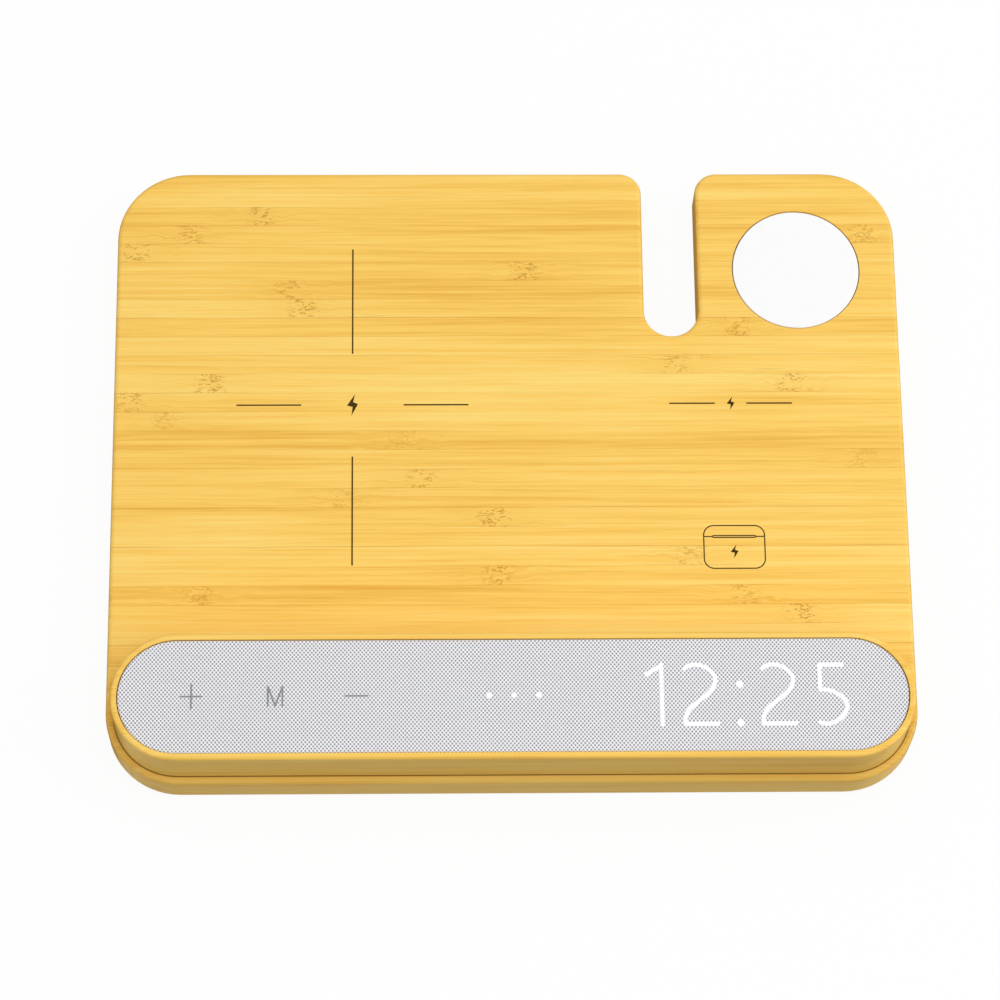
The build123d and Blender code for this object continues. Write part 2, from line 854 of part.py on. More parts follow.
# Connectors at the board's front edge, with the leads and the ribbon that they take
plug_front_y = board_y - board_depth / 2 + plug_edge_gap
phone_plug_x = board_x + phone_plug_shift
earbud_plug_x = board_x + earbud_plug_shift
watch_plug_x = board_x + watch_plug_shift
with BuildPart() as lead_connectors:
    with BuildSketch(Plane.XY.offset(board_top)):
        with Locations(*[(x, plug_front_y) for x in (phone_plug_x, earbud_plug_x, watch_plug_x)]):
            Rectangle(connector_width, connector_depth, align=(Align.CENTER, Align.MIN))
    extrude(amount=connector_height)
    with BuildSketch(Plane.XY.offset(board_top)):
        with Locations((0, plug_front_y)):
            Rectangle(ribbon_plug_width, connector_depth, align=(Align.CENTER, Align.MIN))
    extrude(amount=connector_height)
lead_connectors.part.label = "lead_connectors"
export_step(lead_connectors.part, "parts/lead_connectors.step")

lead_z = pocket_top - coil_thick / 2
plug_z = lead_z - lead_drop
lead_cross_x = slot_x - slot_width / 2 - lead_slot_gap
lead_cross_y = plug_front_y - lead_cross_reach
earbud_bend_y = plug_front_y - earbud_bend_reach
watch_lead_z = puck_cavity_top - watch_coil_thick / 2
with BuildPart() as coil_leads:
    lead(
        (phone_x + phone_coil_r, phone_y, lead_z),
        (phone_plug_x, phone_y, lead_z),
        (phone_plug_x, phone_y + lead_run, plug_z),
        (phone_plug_x, plug_front_y, plug_z),
    )
    lead(
        (earbud_x - earbud_coil_r, earbud_y, lead_z),
        (lead_cross_x, earbud_y, lead_z),
        (earbud_plug_x, earbud_bend_y, plug_z),
        (earbud_plug_x, plug_front_y, plug_z),
    )
    lead(
        (puck_x - watch_coil_r, puck_y, watch_lead_z),
        (puck_x - watch_coil_r - watch_exit, puck_y, watch_lead_z),
        (puck_x - watch_coil_r - watch_exit, puck_y - lead_run / 2, plug_z),
        (puck_x - watch_coil_r - watch_exit, lead_cross_y, plug_z),
        (lead_cross_x, lead_cross_y, plug_z),
        (watch_plug_x, lead_cross_y + lead_run, plug_z),
        (watch_plug_x, plug_front_y, plug_z),
    )
coil_leads.part.label = "coil_leads"
export_step(coil_leads.part, "parts/coil_leads.step")

ribbon_z = board_top + ribbon_lift
ribbon_plug_bottom = bar_board_bottom - ribbon_plug_height
with BuildPart() as link_ribbon:
    with BuildSketch(Plane.YZ.offset(-ribbon_width / 2)):
        with BuildLine() as ribbon_path:
            FilletPolyline(
                (plug_front_y, ribbon_z),
                (bar_y, ribbon_z),
                (bar_y, ribbon_plug_bottom),
                radius=ribbon_bend_r,
            )
        trace(ribbon_path.line, line_width=ribbon_thick)
    extrude(amount=ribbon_width)
link_ribbon.part.label = "link_ribbon"
export_step(link_ribbon.part, "parts/link_ribbon.step")

# Bar shell: a bamboo trough with a step that the baffle rests on
with BuildPart() as bar_shell:
    with BuildSketch(Plane.XY.offset(bar_bottom)):
        bar_outline(0)
    extrude(amount=bar_top - bar_bottom)
    fillet(bar_shell.edges().group_by(Axis.Z)[-1], bar_rim_r)
    chamfer(bar_shell.edges().group_by(Axis.Z)[0], bar_seam_chamfer)
    with BuildSketch(Plane.XY.offset(baffle_bottom)):
        bar_outline(bar_rim)
    extrude(amount=bar_top - baffle_bottom, mode=Mode.SUBTRACT)
    with BuildSketch(Plane.XY.offset(floor_top)):
        bar_outline(bar_rim + bar_ledge)
    extrude(amount=baffle_bottom - floor_top, mode=Mode.SUBTRACT)
    column(
        bar_bottom - over, floor_top + over, bar_screw_r + screw_clear,
        post_spots(), Mode.SUBTRACT,
    )
    with BuildSketch(Plane.XY.offset(bar_bottom - over)):
        with Locations((0, bar_y)):
            Rectangle(ribbon_width + 2 * ribbon_slot_gap, ribbon_thick + 2 * ribbon_slot_gap)
    extrude(amount=bar_floor + 2 * over, mode=Mode.SUBTRACT)
bar_shell.part.label = "bar_shell"
export_step(bar_shell.part, "parts/bar_shell.step")

# Baffle with its posts, key guides, speaker openings and display window
key_hole_r = key_r + key_guide_gap
speaker_hole_r = speaker_basket_r + snug_fit
with BuildPart() as baffle:
    with BuildSketch(Plane.XY.offset(baffle_bottom)):
        bar_outline(bar_rim + grille_gap)
        with Locations(*key_spots):
            Circle(key_hole_r, mode=Mode.SUBTRACT)
        with Locations(*speaker_spots):
            Circle(speaker_hole_r, mode=Mode.SUBTRACT)
        with Locations(*status_spots):
            Circle(status_r + snug_fit, mode=Mode.SUBTRACT)
        with Locations((display_x, bar_y)):
            Rectangle(
                display_length + 2 * display_gap, display_depth + 2 * display_gap,
                mode=Mode.SUBTRACT,
            )
        with Locations((-peg_x, bar_y), (peg_x, bar_y)):
            Circle(peg_r + snug_fit, mode=Mode.SUBTRACT)
        with Locations(*speaker_hole_spots()):
            Circle(speaker_screw_r + snug_fit, mode=Mode.SUBTRACT)
    extrude(amount=baffle_thick)
    column(floor_top, baffle_bottom, post_r, post_spots())
    column(bar_board_top, baffle_bottom, pillar_r, pillar_spots())
    column(
        floor_top, screw_head_bottom + bar_screw_head + bar_screw_length + pilot_spare,
        bar_screw_r + snug_fit, post_spots(), Mode.SUBTRACT,
    )
    column(
        bar_board_top, bar_board_top + small_screw_bite + pilot_spare,
        small_screw_r + snug_fit, pillar_spots(), Mode.SUBTRACT,
    )
baffle.part.label = "baffle"
export_step(baffle.part, "parts/baffle.step")

with BuildPart() as bar_screws:
    column(screw_head_bottom, pocket_top, bar_screw_head_r, post_spots())
    column(pocket_top, pocket_top + bar_screw_length, bar_screw_r, post_spots())
    drive_cross(screw_head_bottom, drive_depth, post_spots())
bar_screws.part.label = "bar_screws"
export_step(bar_screws.part, "parts/bar_screws.step")

# Grille frame and the cloth over it
cloth_inset = bar_rim + grille_gap
with BuildPart() as grille_frame:
    with BuildSketch(Plane.XY.offset(baffle_top)):
        bar_outline(cloth_inset + cloth_thick)
        with Locations(*key_spots):
            Circle(key_hole_r, mode=Mode.SUBTRACT)
        with Locations(*speaker_spots):
            Circle(speaker_hole_r, mode=Mode.SUBTRACT)
        with Locations(*status_spots):
            Circle(status_r + display_gap, mode=Mode.SUBTRACT)
        with Locations((display_x, bar_y)):
            Rectangle(
                display_length + 2 * display_gap, display_depth + 2 * display_gap,
                mode=Mode.SUBTRACT,
            )
    extrude(amount=grille_plate)
    column(baffle_top - peg_length, baffle_top, peg_r, [(-peg_x, bar_y), (peg_x, bar_y)])
grille_frame.part.label = "grille_frame"
export_step(grille_frame.part, "parts/grille_frame.step")

with BuildPart() as grille_cloth:
    with BuildSketch(Plane.XY.offset(baffle_top)):
        bar_outline(cloth_inset)
    extrude(amount=cloth_top - baffle_top)
    fillet(grille_cloth.edges().group_by(Axis.Z)[-1], cloth_edge_r)
    with BuildSketch(Plane.XY.offset(baffle_top)):
        bar_outline(cloth_inset + cloth_thick)
    extrude(amount=frame_top - baffle_top, mode=Mode.SUBTRACT)
grille_cloth.part.label = "grille_cloth"
export_step(grille_cloth.part, "parts/grille_cloth.step")

# Prints and lit figures on the cloth
with BuildPart() as key_legends:
    with BuildSketch(Plane.XY.offset(cloth_top)):
        with Locations(key_spots[0]):
            Rectangle(legend_plus_width, legend_stroke)
            Rectangle(legend_stroke, legend_plus_height)
        with Locations(key_spots[2]):
            Rectangle(legend_minus, legend_stroke)
        m_left = key_xs[1] + legend_m_shift - legend_m_width / 2
        m_size = (m_left, bar_y - legend_m_height / 2, legend_m_width, legend_m_height)
        for leg_shares in m_leg_shares:
            ends = stroke(leg_shares, *m_size, legend_stroke)
            joint(ends[0], legend_stroke)
            joint(ends[1], legend_stroke)
    extrude(amount=print_thick)
key_legends.part.label = "key_legends"
export_step(key_legends.part, "parts/key_legends.step")

with BuildPart() as status_dots:
    column(cloth_top, cloth_top + light_film, status_r, status_spots)
status_dots.part.label = "status_dots"
export_step(status_dots.part, "parts/status_dots.step")

with BuildPart() as clock_digits:
    with BuildSketch(Plane.XY.offset(cloth_top)):
        clock_face()
    extrude(amount=light_film)
clock_digits.part.label = "clock_digits"
export_step(clock_digits.part, "parts/clock_digits.step")

# Bar board with what it carries
with BuildPart() as bar_board:
    with BuildSketch(Plane.XY.offset(bar_board_bottom)):
        with Locations((0, bar_y)):
            RectangleRounded(2 * bar_board_half_x, bar_board_depth, bar_board_r)
        with Locations(*speaker_spots):
            Circle(magnet_r + magnet_hole_gap, mode=Mode.SUBTRACT)
        with Locations(*pillar_spots()):
            Circle(small_screw_r + screw_clear, mode=Mode.SUBTRACT)
        with Locations(*post_spots()):
            Circle(post_r + post_board_gap, mode=Mode.SUBTRACT)
    extrude(amount=bar_board_thick)
bar_board.part.label = "bar_board"
export_step(bar_board.part, "parts/bar_board.step")

with BuildPart() as bar_board_screws:
    column(
        bar_board_bottom - small_screw_head, bar_board_bottom, small_screw_head_r, pillar_spots()
    )
    column(bar_board_bottom, bar_board_top + small_screw_bite, small_screw_r, pillar_spots())
    drive_cross(bar_board_bottom - small_screw_head, drive_depth, pillar_spots())
bar_board_screws.part.label = "bar_board_screws"
export_step(bar_board_screws.part, "parts/bar_board_screws.step")

with BuildPart() as ribbon_connector:
    with BuildSketch(Plane.XY.offset(ribbon_plug_bottom)):
        with Locations((0, bar_y)):
            Rectangle(ribbon_plug_width, connector_depth)
    extrude(amount=ribbon_plug_height)
ribbon_connector.part.label = "ribbon_connector"
export_step(ribbon_connector.part, "parts/ribbon_connector.step")

switch_top = bar_board_top + switch_height + switch_plunger
with BuildPart() as key_switches:
    with BuildSketch(Plane.XY.offset(bar_board_top)):
        with Locations(*key_spots):
            Rectangle(switch_size, switch_size)
    extrude(amount=switch_height)
    column(bar_board_top + switch_height, switch_top, switch_plunger_r, key_spots)
key_switches.part.label = "key_switches"
export_step(key_switches.part, "parts/key_switches.step")

with BuildPart() as status_lamps:
    with BuildSketch(Plane.XY.offset(bar_board_top)):
        with Locations(*status_spots):
            Rectangle(status_lamp, status_lamp)
    extrude(amount=lamp_height)
status_lamps.part.label = "status_lamps"
export_step(status_lamps.part, "parts/status_lamps.step")

with BuildPart() as status_light_pipes:
    column(bar_board_top + lamp_height + lamp_gap, light_top, status_r, status_spots)
status_light_pipes.part.label = "status_light_pipes"
export_step(status_light_pipes.part, "parts/status_light_pipes.step")

# Clock display: lamps at the foot of digit-shaped channels, under a diffuser
display_box_top = light_top - diffuser_thick
with BuildPart() as display_light_box:
    with BuildSketch(Plane.XY.offset(bar_board_top)):
        with Locations((display_x, bar_y)):
            RectangleRounded(display_length, display_depth, display_corner_r)
    extrude(amount=display_box_top - bar_board_top)
    with BuildSketch(Plane.XY.offset(bar_board_top)):
        clock_face()
    extrude(amount=display_box_top - bar_board_top, mode=Mode.SUBTRACT)
display_light_box.part.label = "display_light_box"
export_step(display_light_box.part, "parts/display_light_box.step")

with BuildPart() as display_diffuser:
    with BuildSketch(Plane.XY.offset(display_box_top)):
        with Locations((display_x, bar_y)):
            RectangleRounded(display_length, display_depth, display_corner_r)
    extrude(amount=diffuser_thick)
display_diffuser.part.label = "display_diffuser"
export_step(display_diffuser.part, "parts/display_diffuser.step")

lamp_rows = [
    (one_x + one_width, one_lamp_shares),
    (two_x, two_lamp_shares),
    (second_two_x, two_lamp_shares),
    (five_x, five_lamp_shares),
]
lamp_spots = [(colon_x, bar_y - digit_height / 2 + y) for y in (colon_low_y, colon_high_y)]
for left, shares in lamp_rows:
    lamp_spots += [
        (left + u * digit_width, bar_y + (v - 0.5) * digit_height) for u, v in shares
    ]
with BuildPart() as display_lamps:
    with BuildSketch(Plane.XY.offset(bar_board_top)):
        with Locations(*lamp_spots):
            Rectangle(clock_lamp, clock_lamp)
    extrude(amount=lamp_height)
display_lamps.part.label = "display_lamps"
export_step(display_lamps.part, "parts/display_lamps.step")

# Keys: a hollow cap in the baffle's guide, a flange that holds it in, a stem over the switch
flange_top = baffle_bottom - key_rest_gap
stem_bottom = switch_top + key_travel + key_press_spare


def make_key(name, spot):
    with BuildPart() as key:
        column(flange_top - key_flange_thick, flange_top, key_r + key_flange, [spot])
        column(flange_top, light_top, key_r, [spot])
        column(
            flange_top - key_flange_thick, light_top - key_cap_wall, key_r - key_cap_wall,
            [spot], Mode.SUBTRACT,
        )
        column(stem_bottom, light_top - key_cap_wall, key_stem_r, [spot])
    key.part.label = name
    export_step(key.part, "parts/" + name + ".step")


for key_name, key_spot in zip(("plus_key", "mode_key", "minus_key"), key_spots):
    make_key(key_name, key_spot)

# Speakers, hung under the baffle by their square flanges
flange_bottom = baffle_bottom - speaker_flange
basket_bottom = baffle_bottom - speaker_body
lip_bottom = baffle_bottom - surround_lip
basket_inner_r = speaker_basket_r - speaker_sheet - voice_gap
surround_inner_r = cone_r + surround_gap
surround_outer_r = speaker_basket_r - speaker_sheet / 2


def on_both(profile_maker):
    """Turn one profile, drawn in radius and height, about each speaker's own axis."""
    for x, y in speaker_spots:
        with BuildSketch(Plane(origin=(x, y, 0), x_dir=(1, 0, 0), z_dir=(0, -1, 0))) as profile:
            profile_maker()
        revolve(profile.sketch, axis=Axis((x, y, 0), (0, 0, 1)))


def basket_profile():
    with BuildLine() as edge:
        Polyline(
            (speaker_basket_r, flange_bottom),
            (speaker_waist_r, basket_bottom),
            (voice_r + voice_gap, basket_bottom),
            (voice_r + voice_gap, basket_bottom + speaker_sheet),
            (speaker_waist_r - speaker_sheet, basket_bottom + speaker_sheet),
            (basket_inner_r, flange_bottom),
            close=True,
        )
    make_face(edge.line)


with BuildPart() as speaker_baskets:
    with BuildSketch(Plane.XY.offset(flange_bottom)):
        with Locations(*speaker_spots):
            RectangleRounded(speaker_size, speaker_size, speaker_corner_r)
            Circle(basket_inner_r, mode=Mode.SUBTRACT)
        with Locations(*speaker_hole_spots()):
            Circle(speaker_screw_r + screw_clear, mode=Mode.SUBTRACT)
    extrude(amount=speaker_flange)
    column(lip_bottom, baffle_bottom, surround_outer_r, speaker_spots, Mode.SUBTRACT)
    on_both(basket_profile)
speaker_baskets.part.label = "speaker_baskets"
export_step(speaker_baskets.part, "parts/speaker_baskets.step")

magnet_bottom = basket_bottom - magnet_height
with BuildPart() as speaker_magnets:
    column(magnet_bottom, basket_bottom, magnet_r, speaker_spots)
    with BuildSketch(Plane.XY.offset(basket_bottom)):
        with Locations(*speaker_spots):
            Circle(voice_r + voice_gap)
            Circle(voice_r - voice_wall - voice_gap, mode=Mode.SUBTRACT)
    extrude(amount=-voice_slot_depth, mode=Mode.SUBTRACT)
speaker_magnets.part.label = "speaker_magnets"
export_step(speaker_magnets.part, "parts/speaker_magnets.step")

arch_mid_r = (surround_inner_r + surround_outer_r - surround_lip) / 2
arch_r = arch_mid_r - surround_inner_r


def surround_profile():
    """Flat lip on the basket, then a half roll inwards over the gap."""
    roll_z = lip_bottom + surround_sheet
    with BuildLine() as edge:
        Line((surround_inner_r, roll_z), (surround_inner_r, lip_bottom))
        Line((surround_inner_r, lip_bottom), (surround_inner_r + surround_sheet, lip_bottom))
        ThreePointArc(
            (surround_inner_r + surround_sheet, lip_bottom),
            (arch_mid_r, lip_bottom + arch_r - surround_sheet),
            (arch_mid_r + arch_r - surround_sheet, lip_bottom),
        )
        Line((arch_mid_r + arch_r - surround_sheet, lip_bottom), (surround_outer_r, lip_bottom))
        Line((surround_outer_r, lip_bottom), (surround_outer_r, roll_z))
        Line((surround_outer_r, roll_z), (arch_mid_r + arch_r, roll_z))
        ThreePointArc(
            (arch_mid_r + arch_r, roll_z),
            (arch_mid_r, roll_z + arch_r),
            (surround_inner_r, roll_z),
        )
    make_face(edge.line)


with BuildPart() as speaker_surrounds:
    on_both(surround_profile)
speaker_surrounds.part.label = "speaker_surrounds"
export_step(speaker_surrounds.part, "parts/speaker_surrounds.step")

cone_top = lip_bottom
cone_foot = cone_top - cone_drop


def dome_middle(radius, rise, foot):
    """Point halfway out on a dome whose centre lies on the axis."""
    ball_r = (radius**2 + rise**2) / (2 * rise)
    return (radius / 2, foot + rise - ball_r + sqrt(ball_r**2 - radius**2 / 4))


def make_cone(name, spot):
    """Paper cone, domed cap and voice coil former as one moving piece."""
    x, y = spot
    dome_rise = voice_r / 3
    inner_r = voice_r - voice_wall
    with BuildPart() as cone:
        with BuildSketch(Plane(origin=(x, y, 0), x_dir=(1, 0, 0), z_dir=(0, -1, 0))):
            with BuildLine():
                Line((cone_r, cone_top), (voice_r, cone_foot))
                Line((voice_r, cone_foot), (voice_r, basket_bottom - voice_reach))
                Line(
                    (voice_r, basket_bottom - voice_reach),
                    (inner_r, basket_bottom - voice_reach),
                )
                Line((inner_r, basket_bottom - voice_reach), (inner_r, cone_foot))
                ThreePointArc(
                    (inner_r, cone_foot),
                    dome_middle(inner_r, dome_rise, cone_foot),
                    (0, cone_foot + dome_rise),
                )
                Line((0, cone_foot + dome_rise), (0, cone_foot + dome_rise + cone_sheet))
                ThreePointArc(
                    (0, cone_foot + dome_rise + cone_sheet),
                    dome_middle(voice_r, dome_rise, cone_foot + cone_sheet),
                    (voice_r, cone_foot + cone_sheet),
                )
                Line((voice_r, cone_foot + cone_sheet), (cone_r, cone_top + cone_sheet))
                Line((cone_r, cone_top + cone_sheet), (cone_r, cone_top))
            make_face()
        revolve(axis=Axis((x, y, 0), (0, 0, 1)))
    cone.part.label = name
    export_step(cone.part, "parts/" + name + ".step")


make_cone("left_cone", speaker_spots[0])
make_cone("right_cone", speaker_spots[1])

with BuildPart() as speaker_screws:
    column(
        flange_bottom - speaker_screw_head, flange_bottom, speaker_screw_head_r,
        speaker_hole_spots(),
    )
    column(
        flange_bottom, flange_bottom + speaker_screw_length, speaker_screw_r, speaker_hole_spots()
    )
speaker_screws.part.label = "speaker_screws"
export_step(speaker_screws.part, "parts/speaker_screws.step")

contact_spots = [
    (s * speaker_x + i * contact_offset, bar_y + contact_offset) for s in (-1, 1) for i in (-1, 1)
]
with BuildPart() as speaker_contacts:
    column(bar_board_top, flange_bottom, contact_r, contact_spots)
speaker_contacts.part.label = "speaker_contacts"
export_step(speaker_contacts.part, "parts/speaker_contacts.step")
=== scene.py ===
"""Dresses the bamboo charging deck: wood, woven cloth, coils, print, light, camera and studio.

Metres, in the part's own frame: +X right, +Y to the rear, +Z up, standing on z = 0.
"""

import json
import math

import bmesh
import bpy
import numpy as np
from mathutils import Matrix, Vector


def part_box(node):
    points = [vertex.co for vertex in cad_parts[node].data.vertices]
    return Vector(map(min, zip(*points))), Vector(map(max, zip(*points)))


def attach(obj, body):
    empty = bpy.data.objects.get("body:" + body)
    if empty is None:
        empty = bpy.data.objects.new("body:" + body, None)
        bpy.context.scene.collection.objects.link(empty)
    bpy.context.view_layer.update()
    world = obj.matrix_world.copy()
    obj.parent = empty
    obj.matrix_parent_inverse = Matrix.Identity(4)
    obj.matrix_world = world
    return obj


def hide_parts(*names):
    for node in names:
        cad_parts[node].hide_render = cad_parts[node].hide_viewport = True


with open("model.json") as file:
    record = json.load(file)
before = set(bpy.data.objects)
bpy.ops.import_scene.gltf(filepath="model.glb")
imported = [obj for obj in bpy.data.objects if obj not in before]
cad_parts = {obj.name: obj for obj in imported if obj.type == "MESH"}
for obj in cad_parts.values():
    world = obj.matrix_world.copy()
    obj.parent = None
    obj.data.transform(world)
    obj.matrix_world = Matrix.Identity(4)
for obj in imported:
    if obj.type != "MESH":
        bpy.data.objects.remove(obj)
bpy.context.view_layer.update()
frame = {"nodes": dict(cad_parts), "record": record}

MM = 0.001
TURN = 2 * math.pi

# Camera: place and turn found from the deck's outline in the photograph
CAMERA_PLACE = (-0.031016, -0.415751, 1.111381)
CAMERA_TURN_DEGREES = (20.2812, -1.2183, -0.6411)
CAMERA_LENS = 134.19
CAMERA_SENSOR = 36.0
CAMERA_CLIP = (0.01, 50.0)

# Studio
WORLD_STRENGTH = 0.33
KEY_HEIGHT = 1.5
KEY_SHIFT = 0.45
KEY_SIZE = 3.0
KEY_POWER = 25.8
SIDE_REACH = 2.0
SIDE_HEIGHT = 0.8
SIDE_SIZE = 1.6
LEFT_POWER = 6.0
RIGHT_POWER = 18.0
FLOOR_HALF = 4.0
FLOOR_PAINT = (0.97, 0.97, 0.97, 1.0)
FLOOR_WHITE_SHARE = 0.93

# Cloth weave in millimetres, along the bar and across it, with alternate rows set off by half
WEAVE_ALONG = 1.18
WEAVE_ACROSS = 1.38

# Cloth yarn, the fuzz on it, the holes between yarns, and the ink on both
YARN_DARK, YARN_LIGHT = (0.90, 0.895, 0.93, 1), (0.98, 0.975, 1.0, 1)
FUZZ_SCALE, FUZZ_ROUGHNESS, FUZZ_HEIGHT = 5.0, 0.2, 0.3
HOLE_RAMP, HOLE_GREY = (-0.32, 0.84), (0.235, 0.23, 0.255, 1)
CLOTH_ROUGHNESS, CLOTH_RELIEF = 0.7, 0.00008
INK_ON_YARN, INK_IN_HOLE = (0.34, 0.34, 0.35, 1), (0.16, 0.16, 0.17, 1)
INK_HOLE_ROUGHNESS, INK_RELIEF = 0.1, 0.00005

# Cloth surface: its edge and thickness, and the steps along its outline and its profile
CLOTH_EDGE = 0.45 * MM
CLOTH_THICK = 0.4 * MM
STRAIGHT_STEPS, ARC_STEPS = 150, 48
TOP_POINTS, EDGE_POINTS, SIDE_POINTS = 26, 7, 5

# Bamboo strips, and the knuckles in them: place along the grain in millimetres, strip number
STRIP_WIDTH = 6.46
KNUCKLES = [
    (-79, 13), (-102, 12), (-119, 11), (-70, 9), (-65, 8), (6, 10), (-95, 4), (-120, 3),
    (-108, 2), (-33, 1), (-28, -1), (-52, -2), (-5, -3), (-4, -6), (-97, -7), (53, 5),
    (90, 4), (116, 12), (73, 7), (112, 0), (56, -5), (73, -7), (90, -8),
]

# Bamboo patterns: the size of each along, across and up, in millimetres
STRIP_BEND = (70.0, 18.0, 18.0)
BROAD_FIBRE = (130.0, 1.7, 1.7)
FINE_FIBRE = (34.0, 0.5, 0.5)
FIBRE_PATCH = (30.0, 5.0, 5.0)
CLOUD = (110.0, 22.0, 22.0)
KNUCKLE_EDGE = (2.5, 1.6, 1.6)
KNUCKLE_SWELL = (7.0, 3.0, 3.0)
KNUCKLE_CURL = (4.4, 1.5, 1.5)
END_CELL = (40.0, 0.6, 0.6)

# Bamboo, in millimetres: how far borders, fibres and knuckles wander, how far fibres slide from
# strip to strip, where a knuckle and the wood round it end, and how far off other strips count as
STRIP_WANDER = 0.8
SWELL_WANDER = 4.5
KNUCKLE_FRAY = 6.0
FIBRE_SLIDE = 900.0
KNUCKLE_REACH = (6.5, 1.5)
AROUND_REACH = (26.0, 3.0)
OTHER_STRIP_AWAY = 500.0

# Bamboo, plain numbers: the slope between steepest fibres, the step between the numbers that
# borders draw by, and a knuckle's curls, with their least strength and what a strip adds to it
FIBRE_SLOPE = 0.016
BORDER_STEP = 1.37
CURL_LEVELS = 26.0
CURL_LEAST, CURL_SPREAD = 0.4, 0.6

# Bamboo masks: the values at which each starts and is whole
PATCH_RAMP = (0.45, 0.7)
DASH_RAMP = (0.6, 0.74)
GLUE_RAMP = (0.045, 0.0)
JOINT_RAMP = (0.2, 1.0)
JOINT_PATCH_RAMP = (0.25, 0.75)
CURL_RAMP = (0.55, 1.0)
END_RAMP = (0.7, 0.98)
DOT_RAMP = (0.42, 0.2)

# Bamboo tone: how much each pattern moves it, and its colours from dark to light
BROAD_TONE, FINE_TONE, STRIP_TONE, CLOUD_TONE = 1.0, 0.9, 0.24, 0.55
WOOD_DARK = (0.80, 0.43, 0.060, 1)
WOOD_MIDDLE = (0.975, 0.615, 0.131, 1)
WOOD_LIGHT = (1.00, 0.745, 0.222, 1)
DARK_STOP, LIGHT_STOP = 0.05, 0.95

# Bamboo marks: the most that each covers the wood, and its colour
DASH_COVER, DASH_COVER_AROUND, DASH_COLOUR = 0.5, 0.35, (0.64, 0.32, 0.035, 1)
GLUE_COVER, GLUE_COVER_AROUND, GLUE_COLOUR = 0.8, 0.8, (0.60, 0.28, 0.04, 1)
AROUND_COVER, AROUND_COLOUR = 0.16, (0.88, 0.52, 0.085, 1)
CURL_COVER, CURL_COLOUR = 0.8, (0.50, 0.21, 0.02, 1)
END_COVER, END_COLOUR = 0.6, (0.52, 0.30, 0.045, 1)
DOT_COVER, DOT_COLOUR = 0.3, (0.50, 0.27, 0.05, 1)

# Bamboo surface
WOOD_SPECULAR = 0.06
WOOD_ROUGHNESS, FIBRE_ROUGHNESS, END_ROUGHNESS = 0.38, 0.16, 0.42
BROAD_HEIGHT, FINE_HEIGHT, GLUE_SINK = 0.4, 0.5, 0.3
WOOD_RELIEF = 0.00003

# Joint line round the bar's foot, dark also as painted shadow of its gap, and painted shade on the
# deck beside the bar, in millimetres from the bar and below its bottom
JOINT_AND_SHADOW_REACH, JOINT_AND_SHADOW_COVER, JOINT_AND_SHADOW_COLOUR = (0.5, 0.15), 0.75, (0.16, 0.08, 0.015, 1)
PAINTED_SHADE_REACH, PAINTED_SHADE_COVER, PAINTED_SHADE_COLOUR = (5.0, 0.0), 0.3, (0.55, 0.32, 0.07, 1)
DECK_TOP_BAND = (2.0, 1.0)

# Speckle: scale of the coarse noise against the fine, and where the two tones blend
COARSE_SCALE = 0.13
SPECKLE_RAMP = (0.3, 0.7)

# Circuit board: its mask, and the tracks under it
BOARD_GREENS, BOARD_GRAIN = ((0.012, 0.10, 0.045, 1), (0.02, 0.14, 0.06, 1)), 900.0
TRACK_GREEN, TRACK_RAMP, TRACK_RELIEF = (0.03, 0.24, 0.10, 1), (0.3, 0.4), 0.00003

# Ribbon: its skin, and the wires in it, a pitch apart
RIBBON_SKIN, RIBBON_WIRE = (0.80, 0.80, 0.76, 1), (0.55, 0.53, 0.47, 1)
RIBBON_PITCH, WIRE_RAMP, RIBBON_RELIEF = 1.0 * MM, (-0.2, 0.6), 0.00005

# Lit surfaces: the share of their light that they keep between the lamps, and how fine that is
DIM_SHARE, DIM_GRAIN = 0.94, 900.0

# Charging coils: share of the outer radius that the hole takes, and the wire's thickness
COILS = {
    "phone_coil": (0.455, 0.9 * MM),
    "earbud_coil": (0.438, 0.9 * MM),
    "watch_coil": (0.346, 0.7 * MM),
}
# From turn to turn in wires, and the points along a turn and round the wire
WIRE_SPACING = 1.06
STEPS_PER_TURN = 56
WIRE_SIDES = 8

# Points of a mesh that lie nearer than this are one
WELD_REACH = 0.000001

# The Principled shader's sockets, by the names used here
SOCKET_NAMES = {
    "colour": "Base Color", "roughness": "Roughness", "metallic": "Metallic",
    "specular": "Specular IOR Level", "coat": "Coat Weight", "coat_roughness": "Coat Roughness",
    "sheen": "Sheen Weight", "sheen_roughness": "Sheen Roughness", "glow": "Emission Strength",
}


def add(tree, kind, inputs=(), **settings):
    """Add a node, with its settings, and its inputs linked or set by name or number."""
    made = tree.nodes.new(kind)
    for name, value in settings.items():
        setattr(made, name, value)
    for key, value in dict(inputs).items():
        if isinstance(value, bpy.types.NodeSocket):
            tree.links.new(value, made.inputs[key])
        else:
            made.inputs[key].default_value = value
    return made


def sums(tree, operation, *values):
    """One Math node, and its result."""
    return add(tree, "ShaderNodeMath", enumerate(values), operation=operation).outputs[0]


def ramp(tree, value, low, high, start=0.0, end=1.0):
    """Smooth step from start to end as value goes from low to high."""
    values = enumerate((value, low, high, start, end))
    made = add(tree, "ShaderNodeMapRange", values, interpolation_type="SMOOTHSTEP")
    return made.outputs[0]


def mix(tree, share, first, second):
    """Colour between two colours."""
    inputs = {0: share, 6: first, 7: second}
    return add(tree, "ShaderNodeMix", inputs, data_type="RGBA").outputs[2]


def noise(tree, place, scale=1.0, detail=2.0, roughness=0.5):
    """Noise from 0 to 1 at a place."""
    inputs = {"Vector": place, "Scale": scale, "Detail": detail, "Roughness": roughness}
    return add(tree, "ShaderNodeTexNoise", inputs).outputs[0]


def drawn(tree, number):
    """Random value and colour that a number always gives."""
    return add(tree, "ShaderNodeTexWhiteNoise", {"W": number}, noise_dimensions="1D").outputs


def parts_of(tree, place):
    """X, Y and Z of a place."""
    return add(tree, "ShaderNodeSeparateXYZ", {0: place}).outputs


